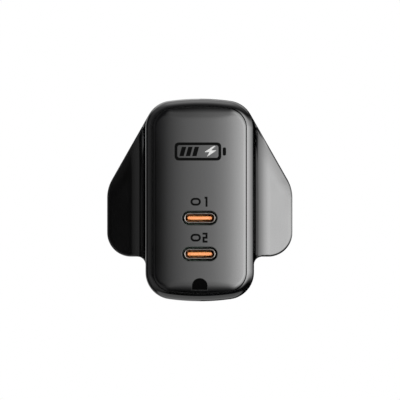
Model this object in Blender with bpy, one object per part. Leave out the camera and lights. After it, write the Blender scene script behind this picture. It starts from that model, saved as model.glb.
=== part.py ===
"""Two-port USB wall charger with a fixed three-pin plug, as separate pieces.

Frame: the flat rear face that meets the wall socket is the plane y = 0. The ports face -Y, the pins
point to +Y and +Z is up. The origin lies on the rear face, level with the middle of the case.
"""
import math

import bmesh
import bpy
from mathutils import Matrix, Vector

MM = 0.001
GAP = 0.3 * MM  # clearance kept between neighbouring pieces

# Case outline, seen from the front
CASE_HALF_WIDTH = 14.5 * MM
CASE_HALF_HEIGHT = 27.35 * MM
CORNER_RADIUS = 7.3 * MM
CROWN_RADIUS = 60.0 * MM  # the short ends are slightly bowed
WING_HALF_WIDTH = 25.0 * MM
WING_SLOPE_DEG = 29.6  # how far the wing's upper edge leans from the vertical
WING_TOP_RADIUS = 10.0 * MM
WING_BOTTOM_RADIUS = 6.5 * MM
WING_BOTTOM_Z = -15.3 * MM

# Case depths, measured from the wall
CASE_DEPTH = 42.0 * MM
SEAM_DEPTH = 2.5 * MM  # rear cover thickness
WING_DEPTH = 6.5 * MM
WING_FALL = 0.095  # the wing's front surface slopes back by this much of its width
COVE_WIDTH = 3.8 * MM
COVE_HEIGHT = 5.0 * MM
WALL = 1.6 * MM
BORDER_WIDTH = 1.95 * MM  # rounded border around the front panel
BORDER_ROLL = 2.4 * MM
BORDER_STEP = 0.1 * MM  # the border ends this far behind the panel's face
RECESS_DEPTH = 1.5 * MM
PANEL_EDGE_DROP = 0.5 * MM
PANEL_EDGE_WIDTH = 2.6 * MM
POCKET_DEPTH = 5.0 * MM
LIP_WIDTH = 1.0 * MM
LIP_DEPTH = 4.3 * MM
PANEL_BACK = CASE_DEPTH - RECESS_DEPTH + GAP
FRONT_WALL_INNER = CASE_DEPTH - RECESS_DEPTH - WALL

# Half-round inlay at the foot of the front panel
INLAY_RADIUS = 2.1 * MM
INLAY_CENTRE = (0.0, -23.2 * MM)
INLAY_LEG = 1.1 * MM

# Recess for a label on the rear cover: width, height and depth
LABEL_SIZE = (20.0 * MM, 7.0 * MM, 0.25 * MM)
LABEL_CENTRE = (0.0, -18.5 * MM)

# USB-C receptacles
PORT_HEIGHTS = {"upper": -4.87 * MM, "lower": -14.57 * MM}
PORT_OPENING = (9.65 * MM, 4.05 * MM)
SHELL_OUTER = (8.94 * MM, 3.26 * MM)
SHELL_INNER = (8.34 * MM, 2.56 * MM)
SHELL_MOUTH = 41.5 * MM
SHELL_TAIL = 32.0 * MM
INSERT_SPAN = (32.6 * MM, 34.0 * MM)
TONGUE_SIZE = (6.69 * MM, 0.7 * MM)
TONGUE_TIP = 40.7 * MM
CONTACT_COUNT = 12
CONTACT_PITCH = 0.5 * MM

# Plug pins, to BS 1363
PIN_SPACING = 22.2 * MM
LIVE_PIN_Z = -3.6 * MM
EARTH_PIN_Z = LIVE_PIN_Z + 22.2 * MM
LIVE_PIN_SECTION = (6.35 * MM, 3.97 * MM)
LIVE_PIN_LENGTH = 17.7 * MM
EARTH_PIN_SECTION = (3.97 * MM, 7.92 * MM)
EARTH_PIN_LENGTH = 22.7 * MM
SLEEVE_LENGTH = 9.3 * MM
SLEEVE_WALL = 0.4 * MM
PIN_CHAMFER = 0.9 * MM
FLANGE_THICKNESS = 1.0 * MM
FLANGE_RIM = 0.7 * MM
TAIL_SECTION = (3.0 * MM, 2.4 * MM)
TAIL_END = 8.0 * MM
TAIL_INSET = 0.9 * MM  # the tails sit this far inboard of their pins

# Pin carrier and its screws
CARRIER_SPAN = (5.3 * MM, 6.8 * MM)
SCREW_PLACE = (6.6 * MM, 6.0 * MM)
BOSS_RADIUS = 2.4 * MM
SCREW_RADIUS = 0.8 * MM
SCREW_HEAD_RADIUS = 1.7 * MM

# Boards
BOARD_THICKNESS = 1.2 * MM
MAIN_BOARD_X = -11.4 * MM
BOARD_FACE = MAIN_BOARD_X + BOARD_THICKNESS + GAP  # where parts on the main board start
PORT_BOARD_DEPTH = 29.5 * MM

PLASTIC_BLACK = (0.012, 0.012, 0.013)
CHIP_BLACK = (0.02, 0.02, 0.022)
BOARD_GREEN = (0.02, 0.11, 0.06)
NICKEL = (0.62, 0.6, 0.56)
COPPER = (0.72, 0.36, 0.2)
FERRITE = (0.07, 0.07, 0.075)


def clear_scene():
    for old in list(bpy.data.objects):
        bpy.data.objects.remove(old, do_unlink=True)


def make_material(name, colour, roughness, metallic):
    material = bpy.data.materials.new(name)
    material.use_nodes = True
    shader = material.node_tree.nodes["Principled BSDF"]
    shader.inputs["Base Color"].default_value = (*colour, 1.0)
    shader.inputs["Roughness"].default_value = roughness
    shader.inputs["Metallic"].default_value = metallic
    material.diffuse_color = (*colour, 1.0)
    return material


def add_piece(name, bm, colour, roughness=0.4, metallic=0.0, smooth_deg=35.0):
    """Makes one finished piece of the charger from a mesh in world places."""
    bmesh.ops.recalc_face_normals(bm, faces=bm.faces)
    mesh = bpy.data.meshes.new(name)
    bm.to_mesh(mesh)
    bm.free()
    mesh.shade_smooth()
    mesh.set_sharp_from_angle(angle=math.radians(smooth_deg))
    piece = bpy.data.objects.new(name, mesh)
    bpy.context.scene.collection.objects.link(piece)
    mesh.materials.append(make_material(name, colour, roughness, metallic))
    return piece


def cut(piece, bm):
    """Takes the mesh out of the piece with an exact Boolean, and hides the cutter."""
    cutter = add_piece("cut_" + piece.name, bm, PLASTIC_BLACK)
    cutter.hide_render = True
    cutter.display_type = "WIRE"
    modifier = piece.modifiers.new("cut", "BOOLEAN")
    modifier.operation = "DIFFERENCE"
    modifier.solver = "EXACT"
    modifier.object = cutter
    return modifier


def join_on(piece, bm):
    """Adds the mesh, which must overlap the piece, to it as one body."""
    modifier = cut(piece, bm)
    modifier.name = "join"
    modifier.operation = "UNION"


# Mesh helpers. A depth is a distance in front of the wall, so y = -depth.


def box(bm, x, y, z):
    """Adds a block between low and high on each axis."""
    centre = Vector((sum(x), sum(y), sum(z))) / 2
    size = Vector((x[1] - x[0], y[1] - y[0], z[1] - z[0]))
    matrix = Matrix.Translation(centre) @ Matrix.Diagonal((*size, 1.0))
    return bmesh.ops.create_cube(bm, size=1.0, matrix=matrix)["verts"]


def block(x, y, z, bevel=0.0):
    bm = bmesh.new()
    box(bm, x, y, z)
    if bevel:
        bmesh.ops.bevel(bm, geom=bm.edges[:], offset=bevel, segments=1, affect="EDGES")
    return bm


def place(point, along, axis):
    """A flat point (a, b) at a position along an axis: X takes (y, z), Y takes (x, z)."""
    a, b = point
    return {"X": (along, a, b), "Y": (a, along, b), "Z": (a, b, along)}[axis]


def prism(bm, outline, low, high, axis="Y"):
    """Adds an outline extruded along an axis, with flat ends."""
    loft(bm, [[place(p, along, axis) for p in outline] for along in (low, high)])


def loft(bm, rings):
    """Joins closed rings of equal length by quads, and fills both ends."""
    loops = [[bm.verts.new(point) for point in ring] for ring in rings]
    for first, second in zip(loops, loops[1:]):
        count = len(first)
        for i in range(count):
            j = (i + 1) % count
            bm.faces.new((first[i], first[j], second[j], second[i]))
    bm.faces.new(loops[0])
    bm.faces.new(list(reversed(loops[-1])))
    return loops


def tube(bm, outer, inner, low, high, axis="Y"):
    """Adds a wall between two outlines of equal length, open right through."""
    ends = []
    for along in (low, high):
        ends.append([[bm.verts.new(place(p, along, axis)) for p in ring] for ring in (outer, inner)])
    (outer_a, inner_a), (outer_b, inner_b) = ends
    count = len(outer)
    for i in range(count):
        j = (i + 1) % count
        bm.faces.new((outer_a[i], outer_a[j], outer_b[j], outer_b[i]))
        bm.faces.new((inner_a[i], inner_b[i], inner_b[j], inner_a[j]))
        bm.faces.new((outer_a[i], inner_a[i], inner_a[j], outer_a[j]))
        bm.faces.new((outer_b[i], outer_b[j], inner_b[j], inner_b[i]))


def lathe(bm, profile, centre, axis, segments=20):
    """Turns (radius, position) pairs about an axis through centre, with flat ends."""
    rings = []
    for radius, along in profile:
        ring = []
        for step in range(segments):
            turn = 2 * math.pi * step / segments
            flat = (radius * math.cos(turn), radius * math.sin(turn))
            ring.append(Vector(place(flat, along, axis)) + Vector(centre))
        rings.append(ring)
    loft(bm, rings)


def arc(centre, radius, start_deg, end_deg, steps):
    points = []
    for step in range(steps + 1):
        turn = math.radians(start_deg + (end_deg - start_deg) * step / steps)
        points.append((centre[0] + radius * math.cos(turn), centre[1] + radius * math.sin(turn)))
    return points


def rectangle(width, height, centre=(0.0, 0.0)):
    a, b = width / 2, height / 2
    corners = ((-a, -b), (a, -b), (a, b), (-a, b))
    return [(centre[0] + x, centre[1] + z) for x, z in corners]


def rounded_rectangle(width, height, radius, centre=(0.0, 0.0), steps=3):
    points = []
    for quarter, (side, end) in enumerate(((1, 1), (-1, 1), (-1, -1), (1, -1))):
        corner = (
            centre[0] + side * (width / 2 - radius),
            centre[1] + end * (height / 2 - radius),
        )
        points += arc(corner, radius, 90 * quarter, 90 * quarter + 90, steps)
    return points


def stadium(size, centre, steps=8):
    """A slot outline with half-round ends, size being (width, height)."""
    radius = size[1] / 2
    reach = size[0] / 2 - radius
    right = arc((centre[0] + reach, centre[1]), radius, -90, 90, steps)
    left = arc((centre[0] - reach, centre[1]), radius, 90, 270, steps)
    return right + left


# Case outline. Corner centres are shared by every inset, so insets stay parallel.

CORNER_X = CASE_HALF_WIDTH - CORNER_RADIUS
CORNER_Z = (
    CASE_HALF_HEIGHT
    - CROWN_RADIUS
    + math.sqrt((CROWN_RADIUS - CORNER_RADIUS) ** 2 - CORNER_X**2)
)
CROWN_DEG = 90 - math.degrees(math.asin(CORNER_X / (CROWN_RADIUS - CORNER_RADIUS)))
SLOPE = math.radians(WING_SLOPE_DEG)
SLOPE_OFFSET = CORNER_X * math.cos(SLOPE) + CORNER_Z * math.sin(SLOPE) + CORNER_RADIUS
WING_TOP_X = WING_HALF_WIDTH - WING_TOP_RADIUS
WING_TOP_Z = (
    SLOPE_OFFSET - WING_TOP_RADIUS - WING_TOP_X * math.cos(SLOPE)
) / math.sin(SLOPE)
WING_BOTTOM_CENTRE = (
    WING_HALF_WIDTH - WING_BOTTOM_RADIUS,
    WING_BOTTOM_Z + WING_BOTTOM_RADIUS,
)
CROWN_STEPS, CORNER_STEPS, SLOPE_STEPS, TURN_STEPS = 3, 6, 4, 3


def crown_and_corner(inset, stop_deg, steps):
    """The right half of the top end, from the middle round the corner to stop_deg."""
    crown_centre = (0.0, CASE_HALF_HEIGHT - CROWN_RADIUS)
    crown = arc(crown_centre, CROWN_RADIUS - inset, 90, CROWN_DEG, CROWN_STEPS)
    corner = arc((CORNER_X, CORNER_Z), CORNER_RADIUS - inset, CROWN_DEG, stop_deg, steps)
    return crown[:-1] + corner


def mirrored(right_half):
    """Closes a right half, whose first and last points lie on x = 0."""
    left = [(-x, z) for x, z in reversed(right_half[1:-1])]
    return right_half + left


def case_outline(inset=0.0):
    top = crown_and_corner(inset, 0, CORNER_STEPS)
    bottom = [(x, -z) for x, z in reversed(top)]
    return mirrored(top + bottom)


def base_outline(inset=0.0):
    """The outline at the wall: the case with its two wings."""
    top = crown_and_corner(inset, WING_SLOPE_DEG, CORNER_STEPS)
    wing = arc((WING_TOP_X, WING_TOP_Z), WING_TOP_RADIUS - inset, WING_SLOPE_DEG, 0, TURN_STEPS)
    wing += arc(WING_BOTTOM_CENTRE, WING_BOTTOM_RADIUS - inset, 0, -90, 2 * TURN_STEPS)
    wing.append((CASE_HALF_WIDTH - inset, WING_BOTTOM_Z + inset))
    bottom = [(x, -z) for x, z in reversed(crown_and_corner(inset, 0, CORNER_STEPS))]
    return mirrored(top + wing + bottom)


# Case


def wing_reach(z):
    """How far the wing's edge is from x = 0 at a height on the case's straight side."""
    top_start = WING_TOP_Z + WING_TOP_RADIUS * math.sin(SLOPE)
    if z >= top_start:
        return (SLOPE_OFFSET - z * math.sin(SLOPE)) / math.cos(SLOPE)
    if z >= WING_TOP_Z:
        return WING_TOP_X + math.sqrt(WING_TOP_RADIUS**2 - (z - WING_TOP_Z) ** 2)
    if z >= WING_BOTTOM_CENTRE[1]:
        return WING_HALF_WIDTH
    drop = min(WING_BOTTOM_CENTRE[1] - z, WING_BOTTOM_RADIUS)
    return WING_BOTTOM_CENTRE[0] + math.sqrt(WING_BOTTOM_RADIUS**2 - drop**2)


def wing_sections():
    """(start point, outward direction, wing width) for each section, from the top down."""
    sections = []
    for point_deg in (WING_SLOPE_DEG, 20.0, 10.0):
        turn = math.radians(point_deg)
        outward = (math.cos(turn), math.sin(turn))
        start = (CORNER_X + CORNER_RADIUS * outward[0], CORNER_Z + CORNER_RADIUS * outward[1])
        sections.append((start, outward, CORNER_RADIUS / math.cos(SLOPE - turn) - CORNER_RADIUS))
    top_start = WING_TOP_Z + WING_TOP_RADIUS * math.sin(SLOPE)
    heights = [CORNER_Z + (top_start - CORNER_Z) * i / SLOPE_STEPS for i in range(SLOPE_STEPS + 1)]
    heights += [z for _, z in arc((0, WING_TOP_Z), WING_TOP_RADIUS, WING_SLOPE_DEG, 0, TURN_STEPS)[1:]]
    heights += [z for _, z in arc((0, WING_BOTTOM_CENTRE[1]), WING_BOTTOM_RADIUS, 0, -90, 6)]
    for z in heights:
        sections.append(((CASE_HALF_WIDTH, z), (1.0, 0.0), wing_reach(z) - CASE_HALF_WIDTH))
    return sections


def wing_front_depth(distance):
    """Depth of the wing's front surface at a distance from the case's side."""
    share = min(distance / COVE_WIDTH, 1.0)
    cove = COVE_HEIGHT * (1 - math.sqrt(1 - (1 - share) ** 2))
    return WING_DEPTH + cove - WING_FALL * distance


def section_points(section, cove_steps=5, flat_steps=2):
    """Points across a wing, from the case's side to the wing's edge."""
    (x, z), (out_x, out_z), width = section
    cove = min(COVE_WIDTH, 0.8 * width)
    shares = [1 - math.cos(math.pi / 2 * i / cove_steps) for i in range(cove_steps + 1)]
    distances = [cove * share for share in shares]
    distances += [cove + (width - cove) * (i + 1) / flat_steps for i in range(flat_steps)]
    points = []
    for distance in distances:
        depth = wing_front_depth(distance)
        points.append((x + out_x * distance, -depth, z + out_z * distance))
    return points


def wing(side):
    """A wing with its cove, as a closed solid that reaches a little into the case."""
    bm = bmesh.new()
    sections = wing_sections()
    inner_x = CASE_HALF_WIDTH - WALL / 2
    rows = []
    for section in sections:
        points = section_points(section)
        top = (inner_x, points[0][1], min(points[0][2], CORNER_Z))
        foot = points[-1]
        low = [(foot[0], -SEAM_DEPTH, foot[2]), (inner_x, -SEAM_DEPTH, top[2])]
        row = [top] + points + low
        rows.append([(side * px, py, pz) for px, py, pz in row])
    loft(bm, rows)
    bmesh.ops.remove_doubles(bm, verts=bm.verts, dist=0.00001)
    return bm


def border_rings():
    """(inset, depth) from the front recess, over the rolled border, to the wall."""
    front = CASE_DEPTH - BORDER_STEP
    steps = 5
    rings = [(BORDER_WIDTH + GAP, front)]
    for step in range(steps + 1):
        turn = math.pi / 2 * step / steps
        inset = (BORDER_WIDTH - 0.3 * MM) * (1 - math.sin(turn))
        rings.append((inset, front - BORDER_ROLL * (1 - math.cos(turn))))
    rings.append((0.0, SEAM_DEPTH))
    return rings


def main_shell():
    bm = bmesh.new()
    loft(bm, [[(x, -depth, z) for x, z in case_outline(inset)] for inset, depth in border_rings()])
    shell = add_piece("main_shell", bm, PLASTIC_BLACK, roughness=0.12)
    for side in (1, -1):
        join_on(shell, wing(side))

    cavity = bmesh.new()
    prism(cavity, case_outline(WALL), -FRONT_WALL_INNER, 1 * MM)
    cut(shell, cavity)
    pocket = bmesh.new()
    prism(pocket, base_outline(WALL), -POCKET_DEPTH, 1 * MM)
    cut(shell, pocket)
    recess = bmesh.new()
    prism(recess, case_outline(BORDER_WIDTH), -CASE_DEPTH - 1 * MM, -CASE_DEPTH + RECESS_DEPTH)
    cut(shell, recess)
    holes = bmesh.new()
    for height in PORT_HEIGHTS.values():
        size = (SHELL_OUTER[0] + 2 * GAP, SHELL_OUTER[1] + 2 * GAP)
        prism(holes, stadium(size, (0, height)), -CASE_DEPTH, -FRONT_WALL_INNER + 1 * MM)
    cut(shell, holes)


def panel_solid():
    """The faceplate before its holes: a thin plate whose edges fall away softly."""
    bm = bmesh.new()
    start = BORDER_WIDTH + GAP
    rings = [(start, PANEL_BACK)]
    steps = 4
    for step in range(steps + 1):
        share = step / steps
        drop = PANEL_EDGE_DROP * (1 - share) ** 2
        rings.append((start + PANEL_EDGE_WIDTH * share, CASE_DEPTH - drop))
    loft(bm, [[(x, -depth, z) for x, z in case_outline(inset)] for inset, depth in rings])
    return bm


def front_panel():
    panel = add_piece("front_panel", panel_solid(), PLASTIC_BLACK, roughness=0.06)
    holes = bmesh.new()
    span = (-CASE_DEPTH - MM, -PANEL_BACK + MM)
    for height in PORT_HEIGHTS.values():
        prism(holes, stadium(PORT_OPENING, (0, height)), *span)
    prism(holes, arch_outline(GAP), *span)
    cut(panel, holes)


def arch_outline(grow=0.0):
    """A half-round top on short straight legs."""
    radius = INLAY_RADIUS + grow
    foot = INLAY_CENTRE[1] - INLAY_LEG - grow
    return arc(INLAY_CENTRE, radius, 0, 180, 10) + [(-radius, foot), (radius, foot)]


def lower_inlay():
    """The plain half-round inlay at the panel's lower edge, flush with the panel."""
    inlay = add_piece("lower_inlay", panel_solid(), (0.004, 0.004, 0.004), roughness=0.3)
    arch = bmesh.new()
    prism(arch, arch_outline(), -CASE_DEPTH - MM, -PANEL_BACK + MM)
    keep = cut(inlay, arch)
    keep.name = "keep"
    keep.operation = "INTERSECT"


def rear_cover():
    """The cover that meets the wall, with its locating lip, screw bosses and pin holes."""
    bm = bmesh.new()
    prism(bm, base_outline(), -SEAM_DEPTH + GAP, 0.0)
    cover = add_piece("rear_cover", bm, PLASTIC_BLACK, roughness=0.35)
    lip = bmesh.new()
    inner = base_outline(WALL + GAP + LIP_WIDTH)
    tube(lip, base_outline(WALL + GAP), inner, -LIP_DEPTH, -SEAM_DEPTH + 1 * MM)
    join_on(cover, lip)
    bosses = bmesh.new()
    for side in (1, -1):
        centre = (side * SCREW_PLACE[0], 0.0, SCREW_PLACE[1])
        span = ((BOSS_RADIUS, -CARRIER_SPAN[0] + GAP), (BOSS_RADIUS, -SEAM_DEPTH + 1 * MM))
        lathe(bosses, span, centre, "Y", 16)
    join_on(cover, bosses)
    holes = bmesh.new()
    for side in (1, -1):
        x = side * PIN_SPACING / 2
        width, height = (size + 2 * GAP for size in LIVE_PIN_SECTION)
        prism(holes, rectangle(width, height, (x, LIVE_PIN_Z)), -LIP_DEPTH, 1 * MM)
        centre = (side * SCREW_PLACE[0], 0.0, SCREW_PLACE[1])
        bore = ((SCREW_RADIUS + GAP, -10 * MM), (SCREW_RADIUS + GAP, -1.2 * MM))
        lathe(holes, bore, centre, "Y", 12)
    width, height = (size + 2 * GAP for size in EARTH_PIN_SECTION)
    prism(holes, rectangle(width, height, (0.0, EARTH_PIN_Z)), -LIP_DEPTH, 1 * MM)
    cut(cover, holes)
    label = bmesh.new()
    width, height, sink = LABEL_SIZE
    outline = rounded_rectangle(width, height, 1.5 * MM, LABEL_CENTRE)
    prism(label, outline, -sink, 1 * MM)
    cut(cover, label)


# Plug


def pin_rings(section, centre, spans):
    """Rectangles along a pin: each span is (y, width change, height change, sideways shift)."""
    rings = []
    for y, wider, taller, shift in spans:
        outline = rectangle(section[0] + wider, section[1] + taller, (centre[0] + shift, centre[1]))
        rings.append([(x, y, z) for x, z in outline])
    return rings


def tail_steps(section, shift):
    """The flange behind the cover and the tail that passes the carrier."""
    rim = 2 * FLANGE_RIM
    flange_top = -SEAM_DEPTH - GAP - FLANGE_THICKNESS
    wider, taller = TAIL_SECTION[0] - section[0], TAIL_SECTION[1] - section[1]
    return [
        (-TAIL_END, wider, taller, shift),
        (flange_top, wider, taller, shift),
        (flange_top, rim, rim, 0.0),
        (-SEAM_DEPTH, rim, rim, 0.0),
    ]


def live_or_neutral_pin(name, side):
    """A brass pin, necked under its sleeve, with a flange and an inboard tail."""
    neck = -2 * (SLEEVE_WALL + GAP)
    chamfer = -2 * PIN_CHAMFER
    tip = LIVE_PIN_LENGTH
    spans = tail_steps(LIVE_PIN_SECTION, -side * TAIL_INSET) + [
        (-SEAM_DEPTH, neck, neck, 0.0),
        (SLEEVE_LENGTH + GAP, neck, neck, 0.0),
        (SLEEVE_LENGTH + GAP, 0.0, 0.0, 0.0),
        (tip - PIN_CHAMFER * 1.6, 0.0, 0.0, 0.0),
        (tip, chamfer, chamfer, 0.0),
    ]
    bm = bmesh.new()
    loft(bm, pin_rings(LIVE_PIN_SECTION, (side * PIN_SPACING / 2, LIVE_PIN_Z), spans))
    add_piece(name, bm, NICKEL, roughness=0.25, metallic=1.0)


def earth_pin():
    chamfer = -2 * PIN_CHAMFER
    spans = tail_steps(EARTH_PIN_SECTION, 0.0) + [
        (-SEAM_DEPTH, 0.0, 0.0, 0.0),
        (EARTH_PIN_LENGTH - PIN_CHAMFER * 1.8, 0.0, 0.0, 0.0),
        (EARTH_PIN_LENGTH, chamfer, chamfer, 0.0),
    ]
    bm = bmesh.new()
    loft(bm, pin_rings(EARTH_PIN_SECTION, (0.0, EARTH_PIN_Z), spans))
    add_piece("earth_pin", bm, NICKEL, roughness=0.25, metallic=1.0)


def pin_sleeve(name, side):
    """The insulating sleeve on the wall end of a live or neutral pin."""
    centre = (side * PIN_SPACING / 2, LIVE_PIN_Z)
    width, height = LIVE_PIN_SECTION
    bore = 2 * SLEEVE_WALL
    bm = bmesh.new()
    inner = rectangle(width - bore, height - bore, centre)
    tube(bm, rectangle(width, height, centre), inner, -SEAM_DEPTH + GAP, SLEEVE_LENGTH)
    add_piece(name, bm, PLASTIC_BLACK, roughness=0.4)


def pin_carrier():
    """The plate that holds the pin flanges against the rear cover."""
    width = 12.3 * MM
    neck = 5.0 * MM
    shoulder, top = 9.5 * MM, 23.0 * MM
    outline = [(-width, -8 * MM), (width, -8 * MM), (width, shoulder), (neck, shoulder + 3 * MM)]
    outline += [(neck, top), (-neck, top), (-neck, shoulder + 3 * MM), (-width, shoulder)]
    bm = bmesh.new()
    prism(bm, outline, -CARRIER_SPAN[1], -CARRIER_SPAN[0])
    carrier = add_piece("pin_carrier", bm, (0.75, 0.74, 0.7), roughness=0.5)
    holes = bmesh.new()
    near, far = -CARRIER_SPAN[1] - 1 * MM, -CARRIER_SPAN[0] + 1 * MM
    width, height = (size + 2 * GAP for size in TAIL_SECTION)
    prism(holes, rectangle(width, height, (0.0, EARTH_PIN_Z)), near, far)
    for side in (1, -1):
        x = side * (PIN_SPACING / 2 - TAIL_INSET)
        prism(holes, rectangle(width, height, (x, LIVE_PIN_Z)), near, far)
        centre = (side * SCREW_PLACE[0], 0.0, SCREW_PLACE[1])
        lathe(holes, ((SCREW_RADIUS + GAP, near), (SCREW_RADIUS + GAP, far)), centre, "Y", 12)
    cut(carrier, holes)


def carrier_screw(name, side):
    """A round-headed thread-forming screw through the carrier into the cover's boss."""
    head_face = -CARRIER_SPAN[1] - GAP
    profile = [
        (0.9 * MM, head_face - 1.3 * MM),
        (1.4 * MM, head_face - 1.0 * MM),
        (SCREW_HEAD_RADIUS, head_face - 0.4 * MM),
        (SCREW_HEAD_RADIUS, head_face),
        (SCREW_RADIUS, head_face),
        (SCREW_RADIUS, -2.4 * MM),
        (0.3 * MM, -1.6 * MM),
    ]
    bm = bmesh.new()
    lathe(bm, profile, (side * SCREW_PLACE[0], 0.0, SCREW_PLACE[1]), "Y", 16)
    screw = add_piece(name, bm, NICKEL, roughness=0.35, metallic=1.0)
    slot = bmesh.new()
    x, z = side * SCREW_PLACE[0], SCREW_PLACE[1]
    depth = (head_face - 2 * MM, head_face - 0.8 * MM)
    box(slot, (x - 0.9 * MM, x + 0.9 * MM), depth, (z - 0.2 * MM, z + 0.2 * MM))
    cut(screw, slot)


def contact_spring(name, side):
    """The sprung strip that carries mains from a pin's tail to the main board's edge."""
    x = side * (PIN_SPACING / 2 - TAIL_INSET)
    half_width = 1.2 * MM
    thickness = 0.4 * MM
    near = -TAIL_END - GAP
    low, high = LIVE_PIN_Z - 4.2 * MM, LIVE_PIN_Z + 1.2 * MM
    outer = [(near, high), (near - 0.9 * MM, low + 1 * MM), (near - 0.2 * MM, low)]
    inner = [(y - thickness, z) for y, z in reversed(outer)]
    bm = bmesh.new()
    prism(bm, outer + inner, x - half_width, x + half_width, "X")
    add_piece(name, bm, COPPER, roughness=0.3, metallic=1.0)


# USB-C receptacles


def usb_port(place_name, height):
    centre = (0.0, height)
    shell = bmesh.new()
    tube(shell, stadium(SHELL_OUTER, centre), stadium(SHELL_INNER, centre), -SHELL_MOUTH, -SHELL_TAIL)
    add_piece("usb_shell_" + place_name, shell, (0.3, 0.3, 0.31), roughness=0.3, metallic=1.0)

    snug = (SHELL_INNER[0] - 2 * GAP, SHELL_INNER[1] - 2 * GAP)
    insert = bmesh.new()
    prism(insert, stadium(snug, centre), -INSERT_SPAN[1], -INSERT_SPAN[0])
    add_piece("usb_insert_" + place_name, insert, (0.05, 0.05, 0.05), roughness=0.5)

    tongue = bmesh.new()
    root = INSERT_SPAN[1] + GAP
    shoulder = root + 0.9 * MM
    rings = []
    for depth, outline in (
        (root, stadium(snug, centre)),
        (shoulder, stadium(snug, centre)),
        (shoulder, stadium(TONGUE_SIZE, centre)),
        (TONGUE_TIP, stadium(TONGUE_SIZE, centre)),
    ):
        rings.append([(x, -depth, z) for x, z in outline])
    loft(tongue, rings)
    add_piece("usb_tongue_" + place_name, tongue, (0.9, 0.33, 0.08), roughness=0.4)

    comb = bmesh.new()
    half = CONTACT_PITCH * (CONTACT_COUNT - 1) / 2
    bar = INSERT_SPAN[0] - GAP
    outline = [(half + 0.2 * MM, -bar), (-half - 0.2 * MM, -bar)]
    bar_back = -bar + 0.5 * MM
    tooth_end = -PORT_BOARD_DEPTH - BOARD_THICKNESS - GAP
    tooth = 0.13 * MM
    for i in range(CONTACT_COUNT):
        x = -half + CONTACT_PITCH * i
        outline += [(x - tooth, bar_back), (x - tooth, tooth_end)]
        outline += [(x + tooth, tooth_end), (x + tooth, bar_back)]
    prism(comb, outline, height - 0.15 * MM, height + 0.15 * MM, "Z")
    add_piece("usb_contacts_" + place_name, comb, (0.9, 0.66, 0.3), roughness=0.25, metallic=1.0)


# Boards and the parts on them. Parts on the main board stand towards +X from its face.


def boards():
    x = (MAIN_BOARD_X, MAIN_BOARD_X + BOARD_THICKNESS)
    main = block(x, (-36 * MM, -11.5 * MM), (-22 * MM, 22 * MM))
    add_piece("main_board", main, BOARD_GREEN, roughness=0.45)
    y = (-PORT_BOARD_DEPTH - BOARD_THICKNESS, -PORT_BOARD_DEPTH)
    port = block((-9.6 * MM, 11.2 * MM), y, (-21 * MM, 1 * MM))
    add_piece("port_board", port, BOARD_GREEN, roughness=0.45)
    link = block((-9.7 * MM, -7.4 * MM), (-29.1 * MM, -26.8 * MM), (-20 * MM, -8 * MM), 0.2 * MM)
    add_piece("board_link", link, CHIP_BLACK, roughness=0.5)


def e_core_outline(side, centre_x, centre_z):
    """One ferrite half, its three legs pointing to the middle of the transformer."""
    back, leg, gap = 9.0 * MM, 5.6 * MM, 0.3 * MM
    half, outer, middle = 7.5 * MM, 2.4 * MM, 2.5 * MM
    points = [(back, -half), (back, half), (gap, half), (gap, half - outer)]
    points += [(leg + gap, half - outer), (leg + gap, middle), (gap, middle), (gap, -middle)]
    points += [(leg + gap, -middle), (leg + gap, -half + outer), (gap, -half + outer), (gap, -half)]
    return [(centre_x + side * x, centre_z + z) for x, z in points]


def transformer():
    centre_x, centre_z = 0.5 * MM, -7.0 * MM
    mid_y, half_depth = -20.3 * MM, 4.6 * MM
    for name, side in (("transformer_core_left", -1), ("transformer_core_right", 1)):
        core = bmesh.new()
        outline = e_core_outline(side, centre_x, centre_z)
        prism(core, outline, mid_y - half_depth, mid_y + half_depth)
        add_piece(name, core, FERRITE, roughness=0.7)
    half_length = 5.5 * MM
    tube_half = (half_depth + GAP, 2.5 * MM + GAP)
    bore = rectangle(2 * tube_half[0], 2 * tube_half[1], (mid_y, centre_z))
    hub_wall, flange = 0.6 * MM, 0.5 * MM

    def grown(amount):
        width, height = 2 * (tube_half[0] + amount), 2 * (tube_half[1] + amount)
        return rectangle(width, height, (mid_y, centre_z))

    bobbin = bmesh.new()
    tube(bobbin, grown(hub_wall), bore, centre_x - half_length, centre_x + half_length, "X")
    bobbin_piece = add_piece("transformer_bobbin", bobbin, (0.02, 0.02, 0.02), roughness=0.5)
    cheeks = bmesh.new()
    for side in (-1, 1):
        ends = sorted((centre_x + side * half_length, centre_x + side * (half_length - flange)))
        tube(cheeks, grown(1.9 * MM), grown(hub_wall / 2), *ends, "X")
    join_on(bobbin_piece, cheeks)
    winding = bmesh.new()
    reach = half_length - flange - GAP
    tube(winding, grown(1.8 * MM), grown(hub_wall + GAP), centre_x - reach, centre_x + reach, "X")
    add_piece("transformer_winding", winding, (0.8, 0.55, 0.06), roughness=0.45)


def lying_can(name, radius, length, y, z, colour, metallic=0.0):
    """A capacitor can that stands off the main board, with a crimp near its foot."""
    crimp = 0.12 * radius
    profile = [
        (radius * 0.94, 0.0),
        (radius, 0.3 * MM),
        (radius, 1.0 * MM),
        (radius - crimp, 1.4 * MM),
        (radius, 1.8 * MM),
        (radius, length - 0.4 * MM),
        (radius * 0.9, length),
    ]
    bm = bmesh.new()
    lathe(bm, profile, (BOARD_FACE, y, z), "X", 20)
    add_piece(name, bm, colour, roughness=0.35, metallic=metallic)


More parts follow.
